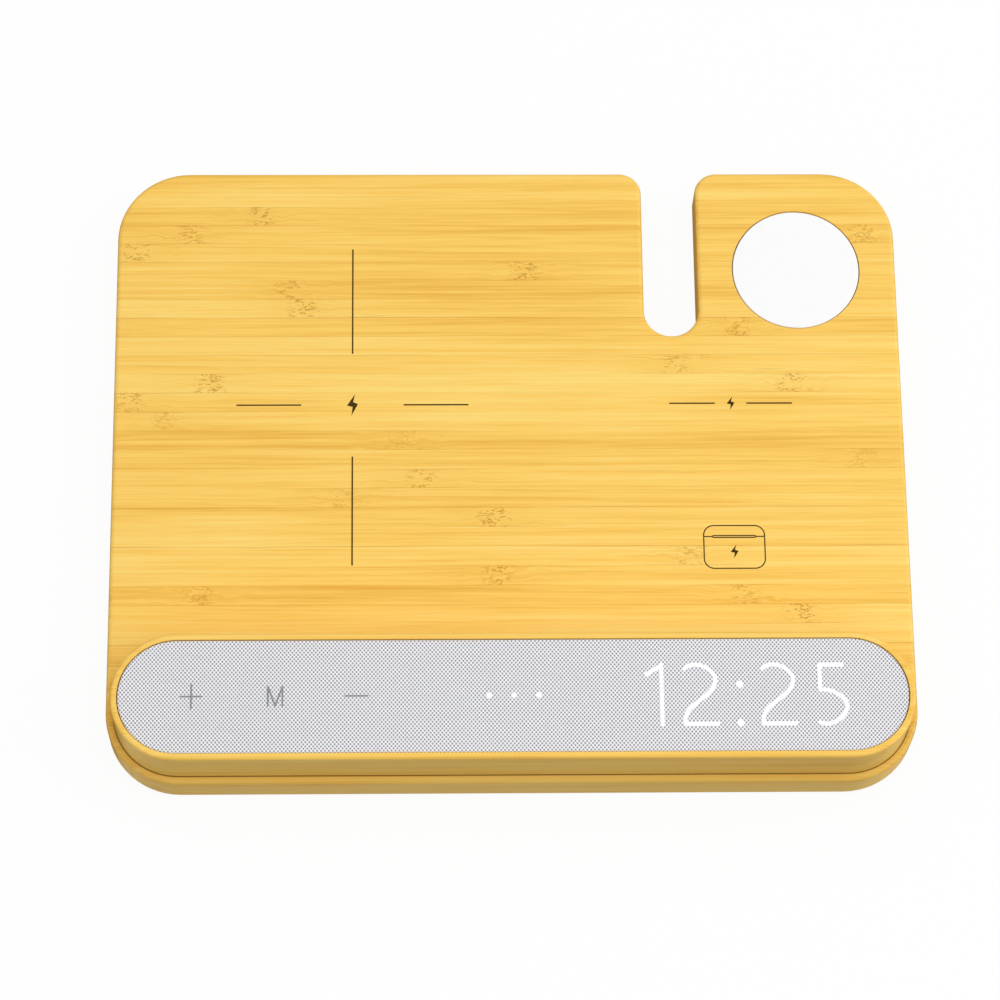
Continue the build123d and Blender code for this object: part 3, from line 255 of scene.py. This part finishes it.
def scaled(tree, place, factor):
    """Place multiplied by one factor."""
    inputs = {0: place, "Scale": factor}
    return add(tree, "ShaderNodeVectorMath", inputs, operation="SCALE").outputs[0]


def stretched(tree, place, sizes):
    """Place divided by a size along each axis."""
    return add(tree, "ShaderNodeVectorMath", {0: place, 1: sizes}, operation="DIVIDE").outputs[0]


def from_middle(tree, place, low, high):
    """X, Y and Z in millimetres from the middle of a box."""
    inputs = {0: place, 1: (low + high) / 2}
    moved = add(tree, "ShaderNodeVectorMath", inputs, operation="SUBTRACT").outputs[0]
    return parts_of(tree, stretched(tree, moved, (MM, MM, MM)))


def group(name, takes, gives):
    """New node group with named inputs and outputs: its tree, its inputs and its outputs."""
    tree = bpy.data.node_groups.new(name, "ShaderNodeTree")
    for title, kind in takes.items():
        tree.interface.new_socket(title, in_out="INPUT", socket_type="NodeSocket" + kind)
    for title, kind in gives.items():
        tree.interface.new_socket(title, in_out="OUTPUT", socket_type="NodeSocket" + kind)
    return tree, tree.nodes.new("NodeGroupInput").outputs, tree.nodes.new("NodeGroupOutput").inputs


def place_group(tree, inner, inputs):
    """Outputs of a placed copy of a node group."""
    return add(tree, "ShaderNodeGroup", inputs, node_tree=inner).outputs


def bamboo_strips(tree, place, y):
    """Number of the strip at a place, of its nearest border, and how far off that border is.

    Strip numbers are y over the strip's width, rounded down, after a broad noise has bent the
    borders. The distance is a share of the width.
    """
    bend = noise(tree, stretched(tree, place, STRIP_BEND))
    level = sums(tree, "SUBTRACT", y, STRIP_WANDER / 2)
    rows = sums(tree, "DIVIDE", sums(tree, "MULTIPLY_ADD", bend, STRIP_WANDER, level), STRIP_WIDTH)
    border = sums(tree, "ROUND", rows)
    away = sums(tree, "ABSOLUTE", sums(tree, "SUBTRACT", rows, border))
    return sums(tree, "FLOOR", rows), border, away


def knuckle_masks(tree, x, strip, place):
    """Two masks: one inside a knuckle, and a wide one that fades out along its strip.

    Both fall off with the distance to the nearest listed place in the same strip.
    """
    ragged = noise(tree, stretched(tree, place, KNUCKLE_EDGE))
    frayed = sums(tree, "MULTIPLY_ADD", sums(tree, "SUBTRACT", ragged, 0.5), KNUCKLE_FRAY, x)
    near = None
    for spot, number in KNUCKLES:
        along = sums(tree, "ABSOLUTE", sums(tree, "SUBTRACT", frayed, float(spot)))
        other = sums(tree, "ABSOLUTE", sums(tree, "SUBTRACT", strip, float(number)))
        away = sums(tree, "MULTIPLY_ADD", other, OTHER_STRIP_AWAY, along)
        near = away if near is None else sums(tree, "MINIMUM", near, away)
    return ramp(tree, near, *KNUCKLE_REACH), ramp(tree, near, *AROUND_REACH)


def wood_tone(tree, broad, fine, shade, cloud):
    """Colour of the bare wood: its patterns added up about a half, then coloured in."""
    weights = ((broad, BROAD_TONE), (fine, FINE_TONE), (shade, STRIP_TONE), (cloud, CLOUD_TONE))
    tone = 0.5 - 0.5 * (BROAD_TONE + FINE_TONE + STRIP_TONE + CLOUD_TONE)
    for pattern, weight in weights:
        tone = sums(tree, "MULTIPLY_ADD", pattern, weight, tone)
    colours = add(tree, "ShaderNodeValToRGB", {0: tone})
    stops = colours.color_ramp.elements
    stops[0].position, stops[0].color = DARK_STOP, WOOD_DARK
    stops[1].position, stops[1].color = LIGHT_STOP, WOOD_LIGHT
    stops.new(0.5).color = WOOD_MIDDLE
    return colours.outputs[0]


def bamboo_group():
    """Strips glued side by side along X, with fibres, hairlines, glue lines and knuckles.

    Fibres are noise stretched along X, slanted a little and set off by each strip's own random
    numbers. The squiggles of a knuckle are level lines of a rounder noise. The cut ends are
    deeper and duller, and show the fibre bundles as dots.
    """
    takes = {"Place": "Vector", "Facing": "Vector", "Shift": "Float"}
    gives = {"Colour": "Color", "Roughness": "Float", "Height": "Float"}
    tree, given, out = group("bamboo strips", takes, gives)
    place = scaled(tree, given["Place"], 1 / MM)
    x, y, z = parts_of(tree, place)
    strip, border, border_away = bamboo_strips(tree, place, y)
    own = drawn(tree, sums(tree, "ADD", strip, given["Shift"]))["Color"]
    shade, slant, slide = add(tree, "ShaderNodeSeparateColor", {0: own}).outputs
    border_number = sums(tree, "ADD", sums(tree, "MULTIPLY", border, BORDER_STEP), given["Shift"])
    joint = drawn(tree, border_number)[0]
    knuckle, around = knuckle_masks(tree, x, strip, place)

    # Fibres run along each strip at a small slant, and part round a knuckle
    swell = noise(tree, stretched(tree, place, KNUCKLE_SWELL), detail=1.0)
    parted = sums(tree, "MULTIPLY", sums(tree, "SUBTRACT", swell, 0.5),
                  sums(tree, "MULTIPLY", around, SWELL_WANDER))
    slope = sums(tree, "MULTIPLY", sums(tree, "SUBTRACT", slant, 0.5), FIBRE_SLOPE)
    across = sums(tree, "ADD", sums(tree, "MULTIPLY_ADD", x, slope, y), parted)
    along = sums(tree, "MULTIPLY_ADD", slide, FIBRE_SLIDE, x)
    flow = add(tree, "ShaderNodeCombineXYZ", {"X": along, "Y": across, "Z": z}).outputs[0]
    broad = noise(tree, stretched(tree, flow, BROAD_FIBRE), detail=4.0, roughness=0.65)
    fine = noise(tree, stretched(tree, flow, FINE_FIBRE), detail=4.0, roughness=0.7)
    patchy = noise(tree, stretched(tree, flow, FIBRE_PATCH))
    cloud = noise(tree, stretched(tree, place, CLOUD))

    # Broken hairlines, thicker in patches and round a knuckle
    thick = sums(tree, "MAXIMUM", ramp(tree, patchy, *PATCH_RAMP), around)
    hairline = sums(tree, "MULTIPLY", ramp(tree, fine, *DASH_RAMP), thick)
    dash_cover = sums(tree, "MULTIPLY_ADD", around, DASH_COVER_AROUND, DASH_COVER)
    dash = sums(tree, "MULTIPLY", hairline, dash_cover)

    # Glue lines, each as strong as its border draws
    uneven = sums(tree, "MULTIPLY", ramp(tree, joint, *JOINT_RAMP),
                  ramp(tree, patchy, *JOINT_PATCH_RAMP))
    strength = sums(tree, "MAXIMUM", uneven, sums(tree, "MULTIPLY", around, GLUE_COVER_AROUND))
    glue = sums(tree, "MULTIPLY", ramp(tree, border_away, *GLUE_RAMP), strength)

    # Squiggles inside a knuckle
    curl = noise(tree, stretched(tree, place, KNUCKLE_CURL), detail=2.5, roughness=0.6)
    level = sums(tree, "SINE", sums(tree, "MULTIPLY", curl, CURL_LEVELS))
    mark = sums(tree, "MULTIPLY", ramp(tree, level, *CURL_RAMP),
                sums(tree, "MULTIPLY_ADD", slide, CURL_SPREAD, CURL_LEAST))
    squiggle = sums(tree, "MULTIPLY", mark, knuckle)

    # Cut ends, which face along X
    facing = parts_of(tree, given["Facing"])[0]
    end = ramp(tree, sums(tree, "ABSOLUTE", facing), *END_RAMP)
    inputs = {"Vector": stretched(tree, place, END_CELL), "Scale": 1.0}
    cell = add(tree, "ShaderNodeTexVoronoi", inputs).outputs["Distance"]
    dot = sums(tree, "MULTIPLY", ramp(tree, cell, *DOT_RAMP), end)

    colour = mix(tree, dash, wood_tone(tree, broad, fine, shade, cloud), DASH_COLOUR)
    for mask, cover, paint in (
        (glue, GLUE_COVER, GLUE_COLOUR), (around, AROUND_COVER, AROUND_COLOUR),
        (squiggle, CURL_COVER, CURL_COLOUR), (end, END_COVER, END_COLOUR),
        (dot, DOT_COVER, DOT_COLOUR),
    ):
        colour = mix(tree, sums(tree, "MULTIPLY", mask, cover), colour, paint)
    tree.links.new(colour, out["Colour"])

    dull = sums(tree, "MULTIPLY_ADD", fine, FIBRE_ROUGHNESS, WOOD_ROUGHNESS)
    tree.links.new(sums(tree, "MULTIPLY_ADD", end, END_ROUGHNESS, dull), out["Roughness"])
    fibres = sums(tree, "MULTIPLY_ADD", broad, BROAD_HEIGHT,
                  sums(tree, "MULTIPLY", fine, FINE_HEIGHT))
    sunk = sums(tree, "SUBTRACT", fibres, sums(tree, "MULTIPLY", glue, GLUE_SINK))
    tree.links.new(sunk, out["Height"])
    return tree


def weave_group():
    """Plain weave: the product of two cosines, which peaks at the holes between the yarns.

    Holes lie at whole steps along and across, and again at half steps of both.
    """
    takes = {"Along": "Float", "Across": "Float"}
    tree, given, out = group("weave", takes, {"Hole": "Float", "Height": "Float"})
    first = sums(tree, "COSINE", sums(tree, "MULTIPLY", given["Along"], TURN / WEAVE_ALONG))
    second = sums(tree, "COSINE", sums(tree, "MULTIPLY", given["Across"], TURN / WEAVE_ACROSS))
    wave = sums(tree, "MULTIPLY", first, second)
    tree.links.new(ramp(tree, wave, *HOLE_RAMP), out["Hole"])
    tree.links.new(sums(tree, "MULTIPLY", wave, -1.0), out["Height"])
    return tree


def speckle_group():
    """Fine and coarse noise, for the texture of moulded, sintered or painted surfaces."""
    takes = {"Grain": "Float"}
    tree, given, out = group("speckle", takes, {"Fine": "Float", "Coarse": "Float"})
    sized = scaled(tree, add(tree, "ShaderNodeTexCoord").outputs["Object"], given["Grain"])
    tree.links.new(noise(tree, sized, detail=3.0), out["Fine"])
    tree.links.new(noise(tree, sized, COARSE_SCALE), out["Coarse"])
    return tree


BAMBOO = bamboo_group()
WEAVE = weave_group()
SPECKLE = speckle_group()


def material(name, **sockets):
    """New material with one Principled shader, whose plain values are set on its own sockets."""
    made = bpy.data.materials.new(name)
    made.use_nodes = True
    shader = made.node_tree.nodes["Principled BSDF"]
    for title, value in sockets.items():
        shader.inputs[SOCKET_NAMES[title]].default_value = value
    return made, made.node_tree, shader


def bump(tree, shader, height, depth):
    """Feed a height to the shader's normal; depth in metres for a height of one."""
    made = add(tree, "ShaderNodeBump", {"Height": height, "Distance": depth, "Strength": 1.0})
    tree.links.new(made.outputs[0], shader.inputs["Normal"])


def foot_of_bar(tree, place, colour):
    """Joint line round the bar's foot on the deck, dark also as painted shadow of its gap, with
    painted shade beside it.

    The distance from the bar is that from its middle line, less half its depth.
    """
    low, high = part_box("bar_shell")
    radius = (high.y - low.y) / 2
    half_line = (high.x - low.x) / 2 - radius
    x, y, z = from_middle(tree, place, low, high)
    past_line = sums(tree, "SUBTRACT", sums(tree, "ABSOLUTE", x), half_line / MM)
    over = sums(tree, "MAXIMUM", past_line, 0.0)
    reach = sums(tree, "SQRT", sums(tree, "MULTIPLY_ADD", over, over, sums(tree, "MULTIPLY", y, y)))
    away = sums(tree, "SUBTRACT", reach, radius / MM)
    bar_bottom = (low.z - high.z) / 2 / MM
    top = ramp(tree, z, *[bar_bottom - below for below in DECK_TOP_BAND])
    # Painted shade on the deck beside the bar, then the joint line, dark also as painted shadow of
    # its gap
    for reach, cover, paint in ((PAINTED_SHADE_REACH, PAINTED_SHADE_COVER, PAINTED_SHADE_COLOUR),
                                (JOINT_AND_SHADOW_REACH, JOINT_AND_SHADOW_COVER, JOINT_AND_SHADOW_COLOUR)):
        share = sums(tree, "MULTIPLY", ramp(tree, away, *reach), sums(tree, "MULTIPLY", top, cover))
        colour = mix(tree, share, colour, paint)
    return colour


def bamboo(name, shift, carries_bar=False):
    """Lacquered bamboo; shift picks other strips."""
    made, tree, shader = material(name, specular=WOOD_SPECULAR)
    given = add(tree, "ShaderNodeTexCoord").outputs
    inputs = {"Place": given["Object"], "Facing": given["Normal"], "Shift": shift}
    wood = place_group(tree, BAMBOO, inputs)
    # On the deck: painted shade, and a joint line with painted shadow, round the bar's foot
    colour = foot_of_bar(tree, given["Object"], wood["Colour"]) if carries_bar else wood["Colour"]
    tree.links.new(colour, shader.inputs["Base Color"])
    tree.links.new(wood["Roughness"], shader.inputs["Roughness"])
    bump(tree, shader, wood["Height"], WOOD_RELIEF)
    return made


def speckled(name, dark, light, grain, roughness, spread=0.12, depth=0.00001, **sockets):
    """Two tones blended by fine and coarse noise, with the fine in roughness and height."""
    made, tree, shader = material(name, **sockets)
    noises = place_group(tree, SPECKLE, {"Grain": grain})
    half_coarse = sums(tree, "MULTIPLY", noises["Coarse"], 0.5)
    tone = sums(tree, "MULTIPLY_ADD", noises["Fine"], 0.5, half_coarse)
    blend = mix(tree, ramp(tree, tone, *SPECKLE_RAMP), (*dark, 1), (*light, 1))
    tree.links.new(blend, shader.inputs["Base Color"])
    dull = sums(tree, "MULTIPLY_ADD", noises["Fine"], spread, roughness - spread / 2)
    tree.links.new(dull, shader.inputs["Roughness"])
    bump(tree, shader, noises["Fine"], depth)
    return made


def woven_cloth():
    """White yarn with the grey ground in the holes of the weave."""
    made, tree, shader = material("grille cloth", specular=0.2, sheen=0.15, sheen_roughness=0.5)
    flat = add(tree, "ShaderNodeUVMap", uv_map="cut").outputs[0]
    axes = parts_of(tree, flat)
    weave = place_group(tree, WEAVE, {"Along": axes[0], "Across": axes[1]})
    fuzz = noise(tree, flat, FUZZ_SCALE, detail=3.0)
    yarn = mix(tree, fuzz, YARN_DARK, YARN_LIGHT)
    tree.links.new(mix(tree, weave["Hole"], yarn, HOLE_GREY), shader.inputs["Base Color"])
    dull = sums(tree, "MULTIPLY_ADD", fuzz, FUZZ_ROUGHNESS, CLOTH_ROUGHNESS)
    tree.links.new(dull, shader.inputs["Roughness"])
    height = sums(tree, "MULTIPLY_ADD", fuzz, FUZZ_HEIGHT, weave["Height"])
    bump(tree, shader, height, CLOTH_RELIEF)
    return made


def printed_on_cloth():
    """Grey ink on the yarns, with the holes of the weave left dark."""
    made, tree, shader = material("grey ink", specular=0.2)
    place = add(tree, "ShaderNodeTexCoord").outputs["Object"]
    low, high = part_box("grille_cloth")
    axes = from_middle(tree, place, low, high)
    weave = place_group(tree, WEAVE, {"Along": axes[0], "Across": axes[1]})
    ink = mix(tree, weave["Hole"], INK_ON_YARN, INK_IN_HOLE)
    tree.links.new(ink, shader.inputs["Base Color"])
    dull = sums(tree, "MULTIPLY_ADD", weave["Hole"], INK_HOLE_ROUGHNESS, CLOTH_ROUGHNESS)
    tree.links.new(dull, shader.inputs["Roughness"])
    bump(tree, shader, weave["Height"], INK_RELIEF)
    return made


def circuit_board():
    """Solder mask over copper tracks: a grid of straight runs, broken up by cells."""
    made, tree, shader = material("circuit board", roughness=0.4, specular=0.5)
    place = add(tree, "ShaderNodeTexCoord").outputs["Object"]
    cells = add(tree, "ShaderNodeTexVoronoi", {"Vector": place, "Scale": 260.0},
                distance="CHEBYCHEV")
    brick = add(tree, "ShaderNodeTexBrick", {
        "Vector": place, "Scale": 300.0, "Mortar Size": 0.04, "Mortar Smooth": 0.3,
        "Brick Width": 1.2, "Row Height": 0.3,
    })
    broken = ramp(tree, cells.outputs["Distance"], *TRACK_RAMP)
    track = sums(tree, "MULTIPLY", brick.outputs["Fac"], broken)
    mask = mix(tree, noise(tree, place, BOARD_GRAIN), *BOARD_GREENS)
    tree.links.new(mix(tree, track, mask, TRACK_GREEN), shader.inputs["Base Color"])
    bump(tree, shader, track, TRACK_RELIEF)
    return made


def ribbon_cable():
    """Conductors as fine stripes along the ribbon: a cosine of x."""
    made, tree, shader = material("ribbon cable", roughness=0.35, specular=0.5)
    x = parts_of(tree, add(tree, "ShaderNodeTexCoord").outputs["Object"])[0]
    wave = sums(tree, "COSINE", sums(tree, "MULTIPLY", x, TURN / RIBBON_PITCH))
    wires = mix(tree, ramp(tree, wave, *WIRE_RAMP), RIBBON_SKIN, RIBBON_WIRE)
    tree.links.new(wires, shader.inputs["Base Color"])
    bump(tree, shader, wave, RIBBON_RELIEF)
    return made


def glowing(name, body, colour, strength):
    """Lit surface over a greyer body, a touch uneven like a diffuser over lamps."""
    made, tree, shader = material(name, colour=(*body, 1), roughness=0.6, glow=strength)
    noises = place_group(tree, SPECKLE, {"Grain": DIM_GRAIN})
    dim = [DIM_SHARE * part for part in colour]
    lit = mix(tree, noises["Coarse"], (*dim, 1), (*colour, 1))
    tree.links.new(lit, shader.inputs["Emission Color"])
    return made


def mesh_piece(name, points, faces, finish, body):
    """New piece from points and faces, smooth, riding on a body."""
    mesh = bpy.data.meshes.new(name)
    mesh.from_pydata(points.tolist(), [], faces.tolist())
    mesh.polygons.foreach_set("use_smooth", np.ones(len(mesh.polygons), bool))
    mesh.materials.append(finish)
    mesh.update()
    made = bpy.data.objects.new(name, mesh)
    bpy.context.scene.collection.objects.link(made)
    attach(made, body)
    return made


def grid_faces(rows, columns):
    """Quads of a grid of points stored row by row, whose last column joins the first."""
    row = np.arange(rows - 1)[:, None]
    column = np.arange(columns)[None, :]
    beside = (column + 1) % columns
    corners = [row * columns + column, row * columns + beside,
               (row + 1) * columns + beside, (row + 1) * columns + column]
    return np.stack([c.ravel() for c in np.broadcast_arrays(*corners)], 1)


def weld_and_face_out(piece):
    """Merge the doubled points of poles and seams, and turn every face outwards."""
    work = bmesh.new()
    work.from_mesh(piece.data)
    bmesh.ops.remove_doubles(work, verts=work.verts, dist=WELD_REACH)
    bmesh.ops.recalc_face_normals(work, faces=work.faces)
    work.to_mesh(piece.data)
    work.free()
    piece.data.update()


def fill_ends(piece, sides):
    """Close a tube's two open ends with one face each."""
    mesh = piece.data
    count = len(mesh.vertices)
    corners = [np.arange(sides)[::-1], np.arange(count - sides, count)]
    points = np.empty(count * 3)
    mesh.vertices.foreach_get("co", points)
    quads = np.empty(len(mesh.loops), np.int32)
    mesh.loops.foreach_get("vertex_index", quads)
    faces = quads.reshape(-1, 4).tolist() + [c.tolist() for c in corners]
    mesh.clear_geometry()
    mesh.from_pydata(points.reshape(-1, 3).tolist(), [], faces)
    mesh.polygons.foreach_set("use_smooth", np.ones(len(mesh.polygons), bool))
    mesh.update()
    weld_and_face_out(piece)


def stretched_cloth(finish):
    """Cloth pulled over the pill-shaped frame and down its side.

    The outline is a pill. Each of its points has a nearest point on the pill's middle line, and
    the surface is a profile carried outwards from there: level, then a quarter round over the
    frame's edge, then straight down. The cloth's cut is the same with the profile laid flat.
    """
    low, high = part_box("grille_cloth")
    middle_y, radius = (low.y + high.y) / 2, (high.y - low.y) / 2
    half_line = (high.x - low.x) / 2 - radius
    quarter = math.pi / 2
    turn = np.linspace(-quarter, quarter, ARC_STEPS + 1)
    run = np.linspace(-1, 1, STRAIGHT_STEPS + 1)[1:-1] * half_line
    core_x = np.concatenate([np.full(turn.size, half_line), -run,
                             np.full(turn.size, -half_line), run])
    angle = np.concatenate([turn, np.full(run.size, quarter),
                            turn + math.pi, np.full(run.size, -quarter)])
    along, across = np.cos(angle), np.sin(angle)

    flat_r = radius - CLOTH_EDGE
    bend = np.linspace(0, quarter, EDGE_POINTS)[1:]
    level = np.linspace(0, 1, TOP_POINTS) * flat_r
    drop = np.linspace(0, 1, SIDE_POINTS)[1:] * (high.z - CLOTH_EDGE - low.z)
    out = np.concatenate([level, flat_r + CLOTH_EDGE * np.sin(bend), np.full(drop.size, radius)])
    down = np.concatenate([np.zeros(level.size), CLOTH_EDGE * (1 - np.cos(bend)),
                           CLOTH_EDGE + drop])
    length = np.concatenate([[0], np.cumsum(np.hypot(np.diff(out), np.diff(down)))])

    x = core_x + out[:, None] * along
    y = middle_y + out[:, None] * across
    z = np.broadcast_to((high.z - down)[:, None], x.shape)
    points = np.stack([x, y, z], -1).reshape(-1, 3)
    faces = grid_faces(out.size, core_x.size)
    cloth = mesh_piece("grille_cloth_woven", points, faces, finish, "root")

    cut_x = core_x + length[:, None] * along
    cut_y = length[:, None] * across
    cut = np.stack([cut_x, cut_y], -1).reshape(-1, 2) / MM
    layer = cloth.data.uv_layers.new(name="cut")
    corner = np.empty(len(cloth.data.loops), np.int32)
    cloth.data.loops.foreach_get("vertex_index", corner)
    layer.data.foreach_set("uv", cut[corner].ravel())
    weld_and_face_out(cloth)
    wall = cloth.modifiers.new("thickness", "SOLIDIFY")
    wall.thickness, wall.offset = CLOTH_THICK, -1.0
    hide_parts("grille_cloth")


def wound_coil(node, hole_share, wire, finish):
    """Flat coil: a wire carried along a spiral whose radius grows evenly with the turn.

    Its section is an oval, as wide as the wire and as high as the node.
    """
    low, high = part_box(node)
    centre = (low + high) / 2
    outer = (high.x - low.x) / 2 - wire / 2
    inner = outer * hole_share + wire / 2
    turns = int((outer - inner) / (wire * WIRE_SPACING))
    steps = turns * STEPS_PER_TURN
    angle = np.linspace(0, turns * TURN, steps + 1)
    radius = inner + (outer - inner) * angle / angle[-1]
    ring = np.linspace(0, TURN, WIRE_SIDES, endpoint=False)
    reach = radius[:, None] + wire / 2 * np.cos(ring)
    x = centre.x + reach * np.cos(angle)[:, None]
    y = centre.y + reach * np.sin(angle)[:, None]
    rise = (high.z - low.z) / 2 * np.sin(ring)
    z = np.broadcast_to(centre.z + rise, x.shape)
    points = np.stack([x, y, z], -1).reshape(-1, 3)
    quads = grid_faces(steps + 1, WIRE_SIDES)
    coil = mesh_piece(node + "_winding", points, quads, finish, "root")
    fill_ends(coil, WIRE_SIDES)
    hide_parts(node)


def camera():
    """Camera at the photograph's viewing angle."""
    data = bpy.data.cameras.new("camera")
    data.lens, data.sensor_width = CAMERA_LENS, CAMERA_SENSOR
    data.clip_start, data.clip_end = CAMERA_CLIP
    made = bpy.data.objects.new("camera", data)
    made.location = CAMERA_PLACE
    made.rotation_euler = [math.radians(a) for a in CAMERA_TURN_DEGREES]
    bpy.context.scene.collection.objects.link(made)
    bpy.context.scene.camera = made


def floor():
    """Pale floor that the camera sees as white, with the object's shadow left on it.

    It lets the world's light up from below, and is clear from underneath.
    """
    corners = np.array([(-1, -1, 0), (1, -1, 0), (1, 1, 0), (-1, 1, 0)]) * FLOOR_HALF
    mesh = bpy.data.meshes.new("floor")
    mesh.from_pydata(corners.tolist(), [], [(0, 1, 2, 3)])
    made = bpy.data.objects.new("floor", mesh)
    bpy.context.scene.collection.objects.link(made)
    finish = bpy.data.materials.new("floor")
    finish.use_nodes = True
    tree = finish.node_tree
    tree.nodes.clear()
    ray = add(tree, "ShaderNodeLightPath").outputs
    seen = sums(tree, "MAXIMUM", ray["Is Camera Ray"],
                sums(tree, "MAXIMUM", ray["Is Glossy Ray"], ray["Is Transmission Ray"]))
    dull = add(tree, "ShaderNodeBsdfDiffuse", {"Color": FLOOR_PAINT})
    white = add(tree, "ShaderNodeEmission", {"Strength": 1.0})
    share = sums(tree, "MULTIPLY", seen, FLOOR_WHITE_SHARE)
    above = add(tree, "ShaderNodeMixShader", {0: share, 1: dull.outputs[0], 2: white.outputs[0]})
    below = add(tree, "ShaderNodeNewGeometry").outputs["Backfacing"]
    clear = add(tree, "ShaderNodeBsdfTransparent")
    both = add(tree, "ShaderNodeMixShader", {0: below, 1: above.outputs[0], 2: clear.outputs[0]})
    add(tree, "ShaderNodeOutputMaterial", {0: both.outputs[0]})
    finish.cycles.emission_sampling = "NONE"
    mesh.materials.append(finish)
    made.visible_diffuse = False
    made.visible_shadow = False


def soft_lamp(name, size, power, place, lean):
    """Square lamp that shines down, leant about Y."""
    lamp = bpy.data.lights.new(name, "AREA")
    lamp.energy, lamp.size = power, size
    made = bpy.data.objects.new(name, lamp)
    made.location = place
    made.rotation_euler = (0.0, lean, 0.0)
    bpy.context.scene.collection.objects.link(made)


def light():
    """White world, a very large soft lamp overhead and right of the middle, and two for the rims."""
    world = bpy.data.worlds.new("studio")
    world.use_nodes = True
    bpy.context.scene.world = world
    tree = world.node_tree
    tree.nodes.clear()
    ray = add(tree, "ShaderNodeLightPath").outputs
    seen = sums(tree, "MAXIMUM", ray["Is Camera Ray"], ray["Is Transmission Ray"])
    strength = ramp(tree, seen, 0.0, 1.0, WORLD_STRENGTH, 1.0)
    back = add(tree, "ShaderNodeBackground", {"Color": (1.0, 1.0, 1.0, 1.0), "Strength": strength})
    add(tree, "ShaderNodeOutputWorld", {0: back.outputs[0]})
    soft_lamp("key", KEY_SIZE, KEY_POWER, (KEY_SHIFT, 0.0, KEY_HEIGHT), 0.0)
    lean = math.atan2(SIDE_REACH, SIDE_HEIGHT)
    soft_lamp("left", SIDE_SIZE, LEFT_POWER, (-SIDE_REACH, 0.0, SIDE_HEIGHT), -lean)
    soft_lamp("right", SIDE_SIZE, RIGHT_POWER, (SIDE_REACH, 0.0, SIDE_HEIGHT), lean)


# Finish of each material slot: a dark and a light tone, the grain per metre, and the surface
FINISHES = {
    "bamboo": bamboo("bamboo deck", shift=11.0, carries_bar=True),
    "dark_ink": speckled("dark ink", (0.048, 0.025, 0.003), (0.075, 0.040, 0.006),
                         grain=3000.0, roughness=0.6, specular=0.1),
    "grey_ink": printed_on_cloth(),
    "black_plastic": speckled("black plastic", (0.012, 0.012, 0.013), (0.022, 0.022, 0.024),
                              grain=4000.0, roughness=0.55, depth=0.00003),
    "white_plastic": speckled("white plastic", (0.95, 0.95, 0.95), (0.97, 0.97, 0.97),
                              grain=2000.0, roughness=0.35, depth=0.000004, specular=0.4),
    "rubber": speckled("rubber", (0.012, 0.012, 0.012), (0.03, 0.03, 0.03),
                       grain=2500.0, roughness=0.8, depth=0.00003),
    "steel": speckled("zinc plated steel", (0.55, 0.56, 0.57), (0.68, 0.69, 0.70),
                      grain=3000.0, roughness=0.35, metallic=1.0),
    "magnet_steel": speckled("nickel plated steel", (0.48, 0.47, 0.45), (0.58, 0.57, 0.54),
                             grain=1500.0, roughness=0.3, metallic=1.0),
    "copper": speckled("enamelled copper", (0.55, 0.20, 0.09), (0.75, 0.33, 0.16), grain=2500.0,
                       roughness=0.3, metallic=1.0, coat=0.4, coat_roughness=0.15),
    "ferrite": speckled("ferrite", (0.012, 0.012, 0.014), (0.035, 0.035, 0.038),
                        grain=1800.0, roughness=0.6),
    "circuit_board": circuit_board(),
    "chip_black": speckled("chip epoxy", (0.01, 0.01, 0.011), (0.022, 0.022, 0.022),
                           grain=5000.0, roughness=0.5),
    "connector_white": speckled("connector nylon", (0.72, 0.70, 0.62), (0.82, 0.80, 0.72),
                                grain=1500.0, roughness=0.45),
    "lead_red": speckled("lead insulation", (0.38, 0.02, 0.015), (0.50, 0.03, 0.02),
                         grain=1200.0, roughness=0.4),
    "ribbon_white": ribbon_cable(),
    "cloth": woven_cloth(),
    "lit_white": glowing("lit white", (0.3, 0.3, 0.3), (1.0, 1.0, 1.0), strength=0.76),
    "lamp_white": speckled("lamp body", (0.75, 0.74, 0.62), (0.85, 0.84, 0.74),
                           grain=2500.0, roughness=0.3),
    "diffuser_white": speckled("diffuser", (0.80, 0.80, 0.80), (0.88, 0.88, 0.88),
                               grain=1500.0, roughness=0.6),
    "key_plastic": speckled("key plastic", (0.57, 0.57, 0.59), (0.60, 0.60, 0.62),
                            grain=2500.0, roughness=0.5),
    "cone_paper": speckled("cone paper", (0.015, 0.015, 0.015), (0.035, 0.034, 0.032),
                           grain=1400.0, roughness=0.85, depth=0.00004),
}


def dress_nodes():
    """Give every carried-over node the finish of its slot in the record."""
    bar_wood = bamboo("bamboo bar", shift=47.0)
    for row in frame["record"]["subparts"]:
        node = frame["nodes"][row["node"]]
        node.data.materials.clear()
        wooden_bar = row["node"] == "bar_shell"
        node.data.materials.append(bar_wood if wooden_bar else FINISHES[row["material_slot"]])


camera()
dress_nodes()
stretched_cloth(FINISHES["cloth"])
for coil, (hole_share, wire) in COILS.items():
    wound_coil(coil, hole_share, wire, FINISHES["copper"])
floor()
light()
bpy.context.scene.view_settings.view_transform = "Standard"
